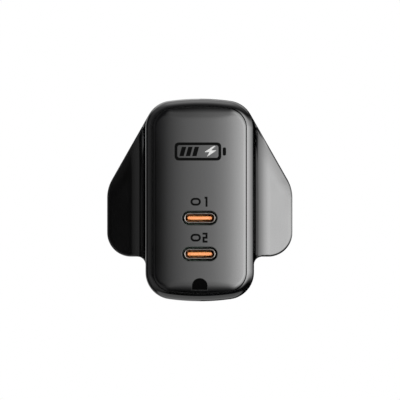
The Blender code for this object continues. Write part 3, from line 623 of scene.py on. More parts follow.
def add_node(tree, kind, links=None, **settings):
    """Adds a node, sets its properties and feeds its inputs from values or other sockets."""
    made = tree.nodes.new(kind)
    for key, value in settings.items():
        setattr(made, key, value)
    for key, source in (links or {}).items():
        if isinstance(source, bpy.types.NodeSocket):
            tree.links.new(source, made.inputs[key])
        else:
            made.inputs[key].default_value = source
    return made


def new_material(name):
    """A material with its shader, and the object's own coordinates in millimetres."""
    material = bpy.data.materials.new(name)
    material.use_nodes = True
    tree = material.node_tree
    place = add_node(tree, "ShaderNodeTexCoord").outputs["Object"]
    scaled = add_node(tree, "ShaderNodeMapping", {"Vector": place, "Scale": (1 / MM, 1 / MM, 1 / MM)})
    return material, tree, tree.nodes["Principled BSDF"], scaled.outputs["Vector"]


def tone(tree, factor, low, high):
    """Mixes two colours by a factor and gives the colour socket."""
    mixed = add_node(tree, "ShaderNodeMix", {0: factor, 6: (*low, 1.0), 7: (*high, 1.0)},
                     data_type="RGBA")
    return mixed.outputs[2]


def spread(tree, source, low, high):
    """Maps a noise value, which lies mostly between 0.3 and 0.7, to a range."""
    ranged = add_node(tree, "ShaderNodeMapRange",
                      {"Value": source, "From Min": 0.3, "From Max": 0.7,
                       "To Min": low, "To Max": high})
    return ranged.outputs["Result"]


def surface(name, low, high, roughness, grain, bump, metallic=0.0, stretch=(1.0, 1.0, 1.0),
            specular=0.5, detail=3.0):
    """A finish with fine variation: grain is the size of its pattern in millimetres, and bump is
    the height of that pattern in millimetres. stretch draws the pattern out along an axis."""
    material, tree, shader, place = new_material(name)
    drawn = add_node(tree, "ShaderNodeMapping",
                     {"Vector": place, "Scale": tuple(1 / (grain * s) for s in stretch)})
    pattern = add_node(tree, "ShaderNodeTexNoise",
                       {"Vector": drawn.outputs["Vector"], "Scale": 1.0, "Detail": detail,
                        "Roughness": 0.6})
    noise = pattern.outputs["Fac"]
    tree.links.new(tone(tree, spread(tree, noise, 0.0, 1.0), low, high), shader.inputs["Base Color"])
    tree.links.new(spread(tree, noise, *roughness), shader.inputs["Roughness"])
    raised = add_node(tree, "ShaderNodeBump", {"Height": noise, "Distance": bump * MM, "Strength": 1.0})
    tree.links.new(raised.outputs["Normal"], shader.inputs["Normal"])
    shader.inputs["Metallic"].default_value = metallic
    shader.inputs["Specular IOR Level"].default_value = specular
    if metallic == 0.0:
        shader.inputs["IOR"].default_value = PLASTIC_IOR
    return material, tree, shader, place, raised


def polished_polycarbonate(name, colours, roughness, ripple):
    """High-gloss injection-moulded polycarbonate: near-black, mirror-like, with the slow ripple of
    moulding shrinkage, a little polishing haze, and hairline scratches."""
    tree, shader, place, waves = surface(
        name, colours.case, colours.haze, roughness=roughness, grain=9.0, bump=ripple, detail=1.0)[1:]
    width, run = 0.12, 14.0  # of a scratch, in millimetres
    lines = add_node(tree, "ShaderNodeMapping",
                     {"Vector": place, "Rotation": (0.2, 0.5, 0.3),
                      "Scale": (1 / width, 1 / width, 1 / run)})
    scratch = add_node(tree, "ShaderNodeTexNoise",
                       {"Vector": lines.outputs["Vector"], "Scale": 1.0, "Detail": 2.0})
    sharp = add_node(tree, "ShaderNodeMapRange",
                     {"Value": scratch.outputs["Fac"], "From Min": 0.68, "From Max": 0.78,
                      "To Max": 0.0006})
    rub = add_node(tree, "ShaderNodeBump",
                   {"Height": sharp.outputs["Result"], "Distance": MM,
                    "Normal": waves.outputs["Normal"]})
    tree.links.new(rub.outputs["Normal"], shader.inputs["Normal"])


# The two gloss finishes: roughness range and ripple in millimetres
GLOSS_FINISHES = {
    "polished_black_polycarbonate": ((0.05, 0.08), 0.004),
    "piano_black_faceplate": ((0.06, 0.09), 0.002),
}

# The other finishes that show: (low colour, high colour, roughness range, grain, bump, the rest).
# A colour is a hex code or the name of a colour in the sidebar.
OUTER_FINISHES = {
    # cast resin inlay: blacker and a little duller than the faceplate, so that it reads as a dark arch
    "black_cast_resin": ("#020202", "#040404", (0.4, 0.5), 0.3, 0.002, {"specular": 0.01}),
    # spark-eroded texture: a fine dull grain, coarser than the real 0.05 mm so that it shows
    "spark_textured_polycarbonate": ("#101011", "#1b1b1c", (0.34, 0.5), 0.22, 0.02, {}),
    # satin nickel over drawn brass: warm silver, softly shining, with fine lines along the pin
    "nickel_plated_brass": ("nickel", "#a09a8e", (0.3, 0.42), 0.25, 0.002,
                            {"metallic": 1.0, "stretch": (1.0, 40.0, 1.0)}),
    # glass-filled nylon sleeve: soft black with a dull sheen
    "black_nylon_sleeve": ("#0c0c0d", "#161617", (0.38, 0.5), 0.3, 0.004, {}),
    # black pad-printed ink: flat and almost without shine
    "black_pad_ink": ("dark_ink", "#060606", (0.5, 0.65), 0.15, 0.001, {"specular": 0.03}),
    # pale grey pad-printed ink: even, matt, a touch uneven where the pad lifts
    "grey_pad_ink": ("pale_ink", "#a8a8a7", (0.5, 0.65), 0.2, 0.001, {"specular": 0.2}),
    # drawn stainless shell: smoky grey with lines along the draw
    "drawn_stainless_steel": ("#5a5754", "#716e6a", (0.22, 0.34), 0.12, 0.002,
                              {"metallic": 1.0, "stretch": (1.0, 20.0, 1.0)}),
    # liquid-crystal polymer tongue: opaque orange with a faint flow pattern
    "orange_liquid_crystal_polymer": ("tongue", "#d68247", (0.35, 0.48), 0.6, 0.003,
                                      {"stretch": (6.0, 1.0, 1.0)}),
    # selective gold plating: bright yellow metal with fine rolling lines
    "gold_plated_contact": ("#e8bd6a", "#d9a94f", (0.14, 0.24), 0.08, 0.001,
                            {"metallic": 1.0, "stretch": (1.0, 25.0, 1.0)}),
}


def build_outer_finishes(colours):
    for name, (roughness, ripple) in GLOSS_FINISHES.items():
        polished_polycarbonate(name, colours, roughness, ripple)
    for name, (low, high, roughness, grain, bump, rest) in OUTER_FINISHES.items():
        low = hex_to_linear(low) if low.startswith("#") else getattr(colours, low)
        surface(name, low, hex_to_linear(high), roughness, grain, bump, **rest)


# Finishes of the parts inside, keyed by the record's slot:
# (name, low colour, high colour, roughness range, grain, bump, metallic)
INNER_FINISHES = {
    "carrier": ("natural_nylon", "#d9d5c8", "#e4e1d6", (0.4, 0.55), 0.5, 0.01, 0.0),
    "plated_steel": ("zinc_plated_steel", "#a9abac", "#c2c4c4", (0.25, 0.4), 0.15, 0.004, 1.0),
    "spring_copper": ("copper_alloy", "#c07a4c", "#d28c5c", (0.2, 0.34), 0.12, 0.004, 1.0),
    "board": ("glass_epoxy_with_solder_mask", "#10502f", "#1a6a40", (0.3, 0.45), 0.35, 0.006, 0.0),
    "chip_resin": ("moulded_epoxy", "#1b1b1c", "#262627", (0.45, 0.6), 0.1, 0.006, 0.0),
    "gold_contacts": ("gold_plated_tails", "#e0b25c", "#efc878", (0.15, 0.25), 0.1, 0.001, 1.0),
    "port_insert": ("black_liquid_crystal_polymer", "#2a1a10", "#3a2618", (0.4, 0.55), 0.4, 0.004, 0.0),
    "ferrite": ("ground_ferrite", "#3a3a3c", "#4b4b4d", (0.6, 0.8), 0.12, 0.01, 0.0),
    "yellow_tape": ("polyester_tape", "#d9a51c", "#e8b830", (0.25, 0.4), 1.2, 0.02, 0.0),
    "fuse_body": ("brown_coating", "#6a3c22", "#7c4a2c", (0.3, 0.45), 0.4, 0.01, 0.0),
    "green_coating": ("green_epoxy", "#1c5c34", "#267244", (0.25, 0.4), 0.7, 0.02, 0.0),
    "blue_coating": ("blue_epoxy", "#2a5cae", "#3a70c4", (0.25, 0.4), 0.7, 0.02, 0.0),
    "yellow_box": ("yellow_polyester_box", "#d9b02c", "#e8c040", (0.3, 0.42), 0.5, 0.01, 0.0),
    "can_sleeve": ("black_shrink_sleeve", "#16161c", "#202028", (0.22, 0.34), 0.9, 0.01, 0.0),
    "bare_can": ("drawn_aluminium", "#c4c5c9", "#d6d7da", (0.25, 0.36), 0.15, 0.004, 1.0),
    "soft_pad": ("silicone_pad", "#8a96a4", "#98a4b2", (0.7, 0.85), 0.3, 0.02, 0.0),
    "clear_sheet": ("milky_polyester_film", "#cdcdc8", "#dadad6", (0.3, 0.45), 2.0, 0.01, 0.0),
    "spreader_plate": ("rolled_aluminium", "#cfd0d3", "#dddee0", (0.28, 0.4), 0.15, 0.003, 1.0),
}

INNER_NODES = {
    "carrier": ("pin_carrier",),
    "plated_steel": ("carrier_screw_left", "carrier_screw_right"),
    "spring_copper": ("live_contact_spring", "neutral_contact_spring", "choke_winding_left",
                      "choke_winding_right"),
    "board": ("main_board", "port_board"),
    "chip_resin": ("board_link", "bridge_rectifier", "primary_controller", "optocoupler",
                   "synchronous_rectifier", "port_controller", "transformer_bobbin"),
    "gold_contacts": ("usb_contacts_upper", "usb_contacts_lower"),
    "port_insert": ("usb_insert_upper", "usb_insert_lower"),
    "ferrite": ("transformer_core_left", "transformer_core_right", "output_inductor_a",
                "output_inductor_b"),
    "yellow_tape": ("transformer_winding",),
    "green_coating": ("choke_core", "surge_thermistor"),
    "fuse_body": ("input_fuse",),
    "blue_coating": ("class_y_capacitor",),
    "yellow_box": ("class_x_capacitor",),
    "can_sleeve": ("bulk_capacitor_a", "bulk_capacitor_b", "bulk_capacitor_c"),
    "bare_can": ("output_capacitor_a", "output_capacitor_b"),
    "soft_pad": ("thermal_pad",),
    "clear_sheet": ("insulating_sheet",),
    "spreader_plate": ("heat_spreader",),
}


# Operators


class CHARGER_OT_materials(bpy.types.Operator):
    """Makes every finish and gives the parts inside theirs"""

    bl_idname = "charger.materials"
    bl_label = "Materials"

    def execute(self, context):
        build_outer_finishes(context.scene.charger_colours)
        for slot, (name, low, high, roughness, grain, bump, metallic) in INNER_FINISHES.items():
            material = surface(name, hex_to_linear(low), hex_to_linear(high), roughness, grain, bump,
                               metallic)[0]
            for node in INNER_NODES[slot]:
                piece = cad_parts[node]
                piece.data.materials.clear()
                piece.data.materials.append(material)
        return {"FINISHED"}


class CHARGER_OT_case(bpy.types.Operator):
    """Builds the case wall: border, sides, hollows, wings and the recess for the faceplate"""

    bl_idname = "charger.case"
    bl_label = "Case"

    def execute(self, context):
        case = skin("case_wall", case_rings(context.scene.charger_sizes), smooth_deg=CASE_SMOOTH_DEG)
        for name in PORT_NAMES:
            width, height = box_plan("usb_shell_" + name)[0]
            hole = stadium(width + 2 * GAP, height + 2 * GAP, (0.0, port_centre(name)))
            carve(case, prism("port_hole", hole, FRONT_WALL_INNER - MM, PANEL_BACK + MM))
        round_off(case, CASE_SMOOTH_DEG)
        finish_piece(case, "polished_black_polycarbonate", "gloss_case", "main_shell")
        return {"FINISHED"}


class CHARGER_OT_faceplate(bpy.types.Operator):
    """Builds the domed faceplate with its port openings and the arch inlay"""

    bl_idname = "charger.faceplate"
    bl_label = "Faceplate and inlay"

    def execute(self, context):
        sizes = context.scene.charger_sizes
        self.plate(sizes)
        self.inlay(sizes)
        return {"FINISHED"}

    def arch(self, grow=0.0):
        return prism("arch", arch_outline(grow), PANEL_BACK - MM, CASE_DEPTH + MM)

    def plate(self, sizes):
        plate = panel_blank("faceplate", sizes)
        for name in PORT_NAMES:
            hole = stadium(*PORT_OPENING, (0.0, port_centre(name)), 40)
            carve(plate, prism("opening", hole, PANEL_BACK - MM, CASE_DEPTH + MM))
        carve(plate, self.arch(0.05 * MM))
        front = CASE_DEPTH - 1e-6
        inner_edge = BORDER_WIDTH + sizes.seam + 0.5 * MM
        arch_top = INLAY_CENTRE_Z + 2 * INLAY_RADIUS

        def on_opening(p):
            return -p.y > front and edge_distance(p.x, p.z) > inner_edge and p.z > arch_top

        bevel_edges(plate, on_opening, 0.05 * MM)
        bend_plate(plate, sizes)
        uncut = panel_blank("uncut_faceplate", sizes)
        bend_plate(uncut, sizes)
        shade_like(plate, uncut)
        finish_piece(plate, "piano_black_faceplate", "gloss_panel", "front_panel")

    def inlay(self, sizes):
        inlay = panel_blank("arch_inlay", sizes)
        carve(inlay, self.arch(), "INTERSECT")
        slice_across(inlay, [INLAY_RADIUS * (i / 4 - 1) for i in range(9)], 0)
        bend_front(inlay, sizes)
        round_off(inlay, SMOOTH_DEG)
        finish_piece(inlay, "black_cast_resin", "inlay", "lower_inlay")


def cell_mark(name, rows, widths, heights, corner, sizes):
    """A printed mark on a grid of cells: rows of 0 and 1 from the top, widths and heights of the
    cells, and the mark's lower left corner. Cells marked 0 are deleted and the rest is raised."""
    start_fresh()
    bpy.ops.mesh.primitive_grid_add(x_subdivisions=len(widths), y_subdivisions=len(heights), size=1)
    lefts = [corner[0] + sum(widths[:i]) for i in range(len(widths) + 1)]
    feet = [corner[1] + sum(heights[:i]) for i in range(len(heights) + 1)]
    piece = shape_active(name, [(left, -CASE_DEPTH, foot) for foot in feet for left in lefts])
    bpy.ops.object.mode_set(mode="EDIT")
    bpy.ops.mesh.select_all(action="DESELECT")
    work = bmesh.from_edit_mesh(piece.data)
    for face in work.faces:
        middle = face.calc_center_median()
        across = sum(1 for left in lefts[1:] if middle.x > left)
        up = sum(1 for foot in feet[1:] if middle.z > foot)
        face.select_set(rows[len(rows) - 1 - up][across] == "0")
    bmesh.update_edit_mesh(piece.data)
    bpy.ops.mesh.delete(type="FACE")
    bpy.ops.object.mode_set(mode="OBJECT")
    return raise_ink(piece, sizes)


def raise_ink(piece, sizes):
    """Gives a flat mark its thickness and lays it on the domed faceplate."""
    pick(piece)
    low, high = (f(v.co.x for v in piece.data.vertices) for f in (min, max))
    count = max(2, round((high - low) / MM))
    slice_across(piece, [low + (high - low) * i / count for i in range(1, count)], 0)
    pick(piece)
    bpy.ops.object.mode_set(mode="EDIT")
    bpy.ops.mesh.select_all(action="SELECT")
    bpy.ops.mesh.normals_make_consistent(inside=False)
    bpy.ops.mesh.extrude_region_move(TRANSFORM_OT_translate={"value": (0.0, -sizes.ink_height, 0.0)})
    bpy.ops.mesh.select_all(action="SELECT")
    bpy.ops.mesh.normals_make_consistent(inside=False)
    bpy.ops.object.mode_set(mode="OBJECT")
    bend_front(piece, sizes)
    round_off(piece, CASE_SMOOTH_DEG)
    return piece


def flat_face(name, outline):
    """A flat face of any outline in the faceplate's plane."""
    start_fresh()
    bpy.ops.mesh.primitive_circle_add(vertices=len(outline), fill_type="NGON")
    return shape_active(name, at_depth(outline, CASE_DEPTH))


def ring_mark(name, outline, inner, sizes):
    """A printed closed line between two outlines of equal length."""
    piece = skin(name, [at_depth(outline, CASE_DEPTH), at_depth(inner, CASE_DEPTH)], capped=False)
    return raise_ink(piece, sizes)


# Printed marks: a battery sign with a bolt, and an outlined port sign with a number over each port

BATTERY_CENTRE = (-0.5 * MM, 13.1 * MM)
BATTERY_SIZE = (12.6 * MM, 4.9 * MM)
BATTERY_RADII = (1.1 * MM, 0.6 * MM)  # outside and inside of its line
CAP_SIZE = (0.9 * MM, 2.2 * MM)
CAP_RADIUS = 0.35 * MM
CAP_OFFSET = 0.85 * MM
BAR_LEAN = 0.7 * MM
BOLT_OFFSET = 3.4 * MM
BOLT_REACH = (2.175 * MM, 1.45 * MM)  # half its width and height
BOLT_POINTS = ((0.35, 1.0), (-0.75, -0.12), (-0.12, -0.12), (-0.45, -1.0), (0.75, 0.22),
               (0.08, 0.22), (0.62, 1.0))
PORT_SIGN = (2.8 * MM, 2.1 * MM)
SIGN_X = -1.1 * MM
NUMERAL_X = 0.75 * MM
NUMERAL_SIZE = (1.35 * MM, 2.7 * MM)
NUMERAL_RISE = 3.05 * MM  # of its foot over the port's middle
NUMERALS = {
    "upper": ("011", "001", "001", "001", "001"),
    "lower": ("111", "001", "111", "100", "111"),
}


class CHARGER_OT_marks(bpy.types.Operator):
    """Prints the battery sign, the charging bolt and the numbered port signs"""

    bl_idname = "charger.marks"
    bl_label = "Printed marks"

    def execute(self, context):
        sizes = context.scene.charger_sizes
        self.battery(sizes)
        self.bolt(sizes)
        for number, name in enumerate(PORT_NAMES, start=1):
            self.port_sign(number, name, sizes)
        return {"FINISHED"}

    def battery(self, sizes):
        (x, z), (width, height), stroke = BATTERY_CENTRE, BATTERY_SIZE, sizes.mark_stroke
        line = 1.4 * stroke
        outer = rounded_rectangle(width, height, BATTERY_RADII[0], BATTERY_CENTRE)
        inner = rounded_rectangle(width - 2 * line, height - 2 * line, BATTERY_RADII[1], BATTERY_CENTRE)
        marks = [ring_mark("battery_line", outer, inner, sizes)]
        cap = rounded_rectangle(*CAP_SIZE, CAP_RADIUS, (x + width / 2 + CAP_OFFSET, z))
        marks.append(raise_ink(flat_face("battery_cap", cap), sizes))
        bar_width, bar_height, spacing = 2.2 * stroke, height - 4.4 * stroke, 3.2 * stroke
        foot, head = z - bar_height / 2, z + bar_height / 2
        for i in range(3):
            left = x - width / 2 + 2.0 * stroke + spacing * i + 0.2 * MM
            bar = [(left, foot), (left + bar_width, foot), (left + bar_width + BAR_LEAN, head),
                   (left + BAR_LEAN, head)]
            marks.append(raise_ink(flat_face("charge_bar", bar), sizes))
        finish_piece(join_pieces("battery_sign", marks), "black_pad_ink", "inlay")

    def bolt(self, sizes):
        centre = (BATTERY_CENTRE[0] + BOLT_OFFSET, BATTERY_CENTRE[1])
        outline = [(centre[0] + x * BOLT_REACH[0], centre[1] + z * BOLT_REACH[1])
                   for x, z in BOLT_POINTS]
        finish_piece(raise_ink(flat_face("charging_bolt", outline), sizes), "grey_pad_ink", None)

    def port_sign(self, number, name, sizes):
        stroke = sizes.mark_stroke
        wide, tall = NUMERAL_SIZE
        widths = [stroke, wide - 2 * stroke, stroke]
        space = (tall - 3 * stroke) / 2
        heights = [stroke, space, stroke, space, stroke]
        foot = port_centre(name) + NUMERAL_RISE
        numeral = cell_mark("numeral", NUMERALS[name], widths, heights, (NUMERAL_X, foot), sizes)
        centre = (SIGN_X, foot + tall / 2)
        outer, inner = (stadium(*(size - change for size in PORT_SIGN), centre)
                        for change in (0.0, 2 * stroke))
        line = ring_mark("port_line", outer, inner, sizes)
        finish_piece(join_pieces(f"port_sign_{number}", [line, numeral]), "black_pad_ink", "inlay")


class CHARGER_OT_ports(bpy.types.Operator):
    """Builds the two USB-C receptacles: drawn shell, moulded tongue and gold contacts"""

    bl_idname = "charger.ports"
    bl_label = "Ports"

    def execute(self, context):
        for name in PORT_NAMES:
            self.shell(name)
            self.tongue(name)
            self.contacts(name)
        return {"FINISHED"}

    def shell(self, name):
        """The drawn shell, a closed tube whose mouth is rolled round."""
        node = "usb_shell_" + name
        low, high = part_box(node)
        (width, height), centre = box_plan(node)[0], (0.0, port_centre(name))
        mouth, tail = -low.y, -high.y
        wall = 0.48 * MM
        half = wall / 2
        start = 0.15 * MM  # the drawn shell is a little slimmer than its solid
        profile = [(start, tail), (start, mouth - half)]
        roll_steps = 8
        for i in range(1, roll_steps):
            turn = math.pi * i / roll_steps
            profile.append((start + half - half * math.cos(turn), mouth - half + half * math.sin(turn)))
        profile += [(start + wall, mouth - half), (start + wall, tail), (start, tail)]
        rings = [at_depth(stadium(width - 2 * inset, height - 2 * inset, centre, 32), depth)
                 for inset, depth in profile]
        shell = skin("port_shell_" + name, rings, capped=False)
        finish_piece(shell, "drawn_stainless_steel", "port_shell", node)

    def tongue(self, name):
        """The tongue with a rounded tip, on its stepped shoulder."""
        node = "usb_tongue_" + name
        low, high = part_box(node)
        (block_width, block_height), centre = box_plan(node)[0], (0.0, port_centre(name))
        tip, root = -low.y, -high.y
        wide, thick = TONGUE_WIDTH, TONGUE_THICKNESS
        shoulder, nose = root + 0.5 * MM, 0.22 * MM
        plan = [(block_width, block_height, root),
                (block_width, block_height, shoulder - 0.15 * MM),
                (block_width - 0.3 * MM, block_height - 0.3 * MM, shoulder),
                (wide + 0.6 * MM, thick + 0.5 * MM, shoulder),
                (wide + 0.4 * MM, thick + 0.3 * MM, shoulder + 0.9 * MM),
                (wide, thick, shoulder + 1.1 * MM), (wide, thick, tip - nose)]
        for across, back in quarter(5):
            shrink = 2 * nose * back
            plan.append((wide - shrink, thick - shrink, tip - nose + nose * across))
        rings = [at_depth(stadium(width, height, centre, 24), depth) for width, height, depth in plan]
        tongue = skin("port_tongue_" + name, rings)
        finish_piece(tongue, "orange_liquid_crystal_polymer", "orange_tongue", node)

    def contacts(self, name):
        """Twelve gold contacts on each side of the tongue, modelled once and copied."""
        height = port_centre(name)
        pitch, width, thickness, count = 0.5 * MM, 0.27 * MM, 0.06 * MM, 12
        tip = -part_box("usb_tongue_" + name)[0].y - 0.75 * MM
        tail = tip - 3.6 * MM
        face = TONGUE_THICKNESS / 2 + 0.01 * MM
        start_fresh()
        bpy.ops.mesh.primitive_cube_add(size=1, location=(0.0, -(tip + tail) / 2, height + face),
                                        scale=(width, tip - tail, thickness))
        bpy.ops.object.transform_apply(location=True, rotation=True, scale=True)
        first = bpy.context.object
        bevel_edges(first, lambda p: p.z > height + face, 0.02 * MM)
        strips = [first]
        for number in range(1, 2 * count):  # the second dozen lies on the tongue's underside
            pick(first)
            bpy.ops.object.duplicate(linked=False)
            copy = bpy.context.object
            shift = pitch * (number % count - (count - 1) / 2)
            for vert in copy.data.vertices:
                vert.co.x += shift
                if number >= count:
                    vert.co.z = 2 * height - vert.co.z
            if number >= count:
                copy.data.flip_normals()
            strips.append(copy)
        for vert in first.data.vertices:
            vert.co.x -= pitch * (count - 1) / 2
        contacts = join_pieces("port_contacts_" + name, strips)
        finish_piece(contacts, "gold_plated_contact", "gold_contacts")


def rounded_bar(name, section, centre, steps, corner, capped=True):
    """A bar along y with rounded long edges: steps are (y, change of width and height)."""
    rings = []
    for y, change in steps:
        radius = max(SMALLEST_RADIUS, corner + change / 4)
        outline = rounded_rectangle(section[0] + change, section[1] + change, radius, centre, 5)
        rings.append(at_depth(outline, -y))
    return skin(name, rings, capped=capped)


class CHARGER_OT_plug(bpy.types.Operator):
    """Builds the three plug pins and the sleeves of the live and neutral pins"""

    bl_idname = "charger.plug"
    bl_label = "Plug pins and sleeves"

    def execute(self, context):
        corner = context.scene.charger_sizes.pin_corner
        for name in PIN_NAMES:
            if name == "earth":
                (width, height), middle = box_plan("earth_pin")
                self.pin(name, (width - FLANGE_RIM, height - FLANGE_RIM), middle, None, corner)
            else:
                section, middle = box_plan(name + "_sleeve")
                start, end = (corner_point.y for corner_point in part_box(name + "_sleeve"))
                self.pin(name, section, middle, end, corner)
                self.sleeve(name, section, middle, start, end, corner)
        return {"FINISHED"}

    def pin(self, name, section, middle, sleeve_end, corner):
        """The pin with its flange behind the cover, its neck under the sleeve and a rounded nose."""
        start, tip = (corner_point.y for corner_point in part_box(name + "_pin"))
        flange, flange_back = -SEAM_DEPTH, -SEAM_DEPTH - 1.3 * MM
        neck = -1.4 * MM if sleeve_end else 0.0
        tail, nose, taper = -1.6 * MM, 1.5 * MM, 1.9 * MM
        steps = [(start, tail), (flange_back, tail), (flange_back, FLANGE_RIM), (flange, FLANGE_RIM),
                 (flange, neck)]
        if sleeve_end:
            shoulder = sleeve_end + 0.05 * MM
            steps += [(shoulder, neck), (shoulder, -0.16 * MM), (shoulder + 0.08 * MM, 0.0)]
        steps += [(tip - nose + nose * across, -taper * back**1.2) for across, back in quarter(10, 0)]
        pin = rounded_bar(name + "_blade", section, middle, steps, corner)
        finish_piece(pin, "nickel_plated_brass", "nickel_brass", name + "_pin")

    def sleeve(self, name, section, middle, start, end, corner):
        """The insulating sleeve, with a soft lip at its open end."""
        bore, lip = -1.2 * MM, 0.12 * MM
        steps = [(start, bore), (start, 0.0), (end - lip, 0.0), (end - 0.3 * lip, -0.3 * lip),
                 (end, -2 * lip), (end, bore), (start, bore)]
        sleeve = rounded_bar(name + "_pin_sleeve", section, middle, steps, corner, capped=False)
        finish_piece(sleeve, "black_nylon_sleeve", "sleeve", name + "_sleeve")


class CHARGER_OT_cover(bpy.types.Operator):
    """Builds the rear cover that meets the wall, with its pin holes and label recess"""

    bl_idname = "charger.cover"
    bl_label = "Rear cover"

    def execute(self, context):
        no_rim = 0.0001 * MM
        columns = outline_columns(no_rim, context.scene.charger_sizes.wing_fillet)
        nip, edge = 0.12 * MM, 0.45 * MM
        lip_in, lip_out, lip_top = WALL + 1.5 * MM, WALL + GAP, SEAM_DEPTH + 0.9 * MM
        profile = [(lip_in, SEAM_DEPTH), (lip_in, lip_top), (lip_out, lip_top),
                   (lip_out, SEAM_DEPTH), (nip, SEAM_DEPTH), (0.0, SEAM_DEPTH - nip)]
        profile += [(edge * back, edge * (1 - across)) for across, back in quarter(6, 0)]
        cover = skin("wall_cover", [
            mirrored([column_point(c, c["reach"], c["rim"] - inset, depth) for c in columns])
            for inset, depth in profile])
        for name in ("live_sleeve", "neutral_sleeve", "earth_pin"):
            (width, height), middle = box_plan(name)
            room = GAP - (FLANGE_RIM if name == "earth_pin" else 0.0)
            hole = rounded_rectangle(width + room, height + room, 0.45 * MM, middle)
            carve(cover, prism("pin_hole", hole, -MM, SEAM_DEPTH + MM))
        label = rounded_rectangle(*LABEL_SIZE, LABEL_RADIUS, (0.0, LABEL_Z), 10)
        carve(cover, prism("label", label, -MM, LABEL_DEPTH))
        bevel_edges(cover, lambda p: abs(p.y) < 1e-6, 0.12 * MM)
        round_off(cover, SMOOTH_DEG)
        finish_piece(cover, "spark_textured_polycarbonate", "satin_cover", "rear_cover")
        return {"FINISHED"}


# Soft boxes of the studio: azimuth from and to, elevation from and to, width of the soft edge, all
# in degrees, and strength. Azimuth 0 is straight in front of the faceplate and grows towards +X.
SOFT_BOXES = {
    "high_behind": (110, 250, 34, 62, 16, 1.6),
    "below": (-200, 200, -100, -54, 10, 1.5),
    "low_left": (-60, -9, -34, -7, 8, 0.3),
}

# Brightness of the large front screen against azimuth, and its share against elevation
FRONT_SCREEN = ((-30, 0.0), (-12, 0.0), (-11, 0.02), (-9.5, 0.13), (-8, 0.62), (-6, 1.4), (-3, 2.3),
                (0, 2.8), (3, 3.4), (6, 4.9), (9, 8.6), (11, 12.6), (30, 10.8), (48, 9.3), (77, 5.7),
                (105, 2.4), (114, 0.6), (120, 0.04), (140, 0.0))
SCREEN_PEAK = 14.0
SCREEN_FADE = ((-27, 0.0), (-21, 0.08), (-15.5, 0.27), (-10.6, 0.58), (-8, 0.74), (-5, 0.78),
               (-1.5, 0.95), (0, 1.0), (2, 0.88), (5, 0.7), (14, 0.63), (18, 0.4), (21, 0.26),
               (26, 0.1), (31, 0.0))
# The same for the dimmer screen on the left, and brightness of the ceiling against elevation
LEFT_SCREEN = ((-180, 0.9), (-137, 0.5), (-122, 0.4), (-114, 0.02), (-93, 0.03), (-85, 0.39),
               (-56, 0.39), (-37, 0.3), (-26, 0.26), (-19, 0.17), (-14, 0.07), (-11, 0.03), (-8, 0.0))
LEFT_FADE = ((-62, 0.0), (-42, 1.0), (42, 1.0), (62, 0.0))
CEILING = ((26, 0.0), (37, 0.2), (54, 0.7), (69, 1.8), (82, 2.9), (90, 3.0))
CEILING_PEAK = 3.0

CAMERA_X = 0.07 * MM
CAMERA_DISTANCE = 0.4
VIEW_WIDTH = 108 * MM
FLOOR_Z = -60 * MM
FLOOR_RADIUS = 2.5
FLOOR_GLOW = 0.4
WHITE = (1.0, 1.0, 1.0, 1.0)


def calculate(tree, operation, *values):
    """The result of a calculation with numbers or sockets."""
    return add_node(tree, "ShaderNodeMath", dict(enumerate(values)), operation=operation).outputs[0]


def combine(tree, operation, values):
    total = values[0]
    for value in values[1:]:
        total = calculate(tree, operation, total, value)
    return total


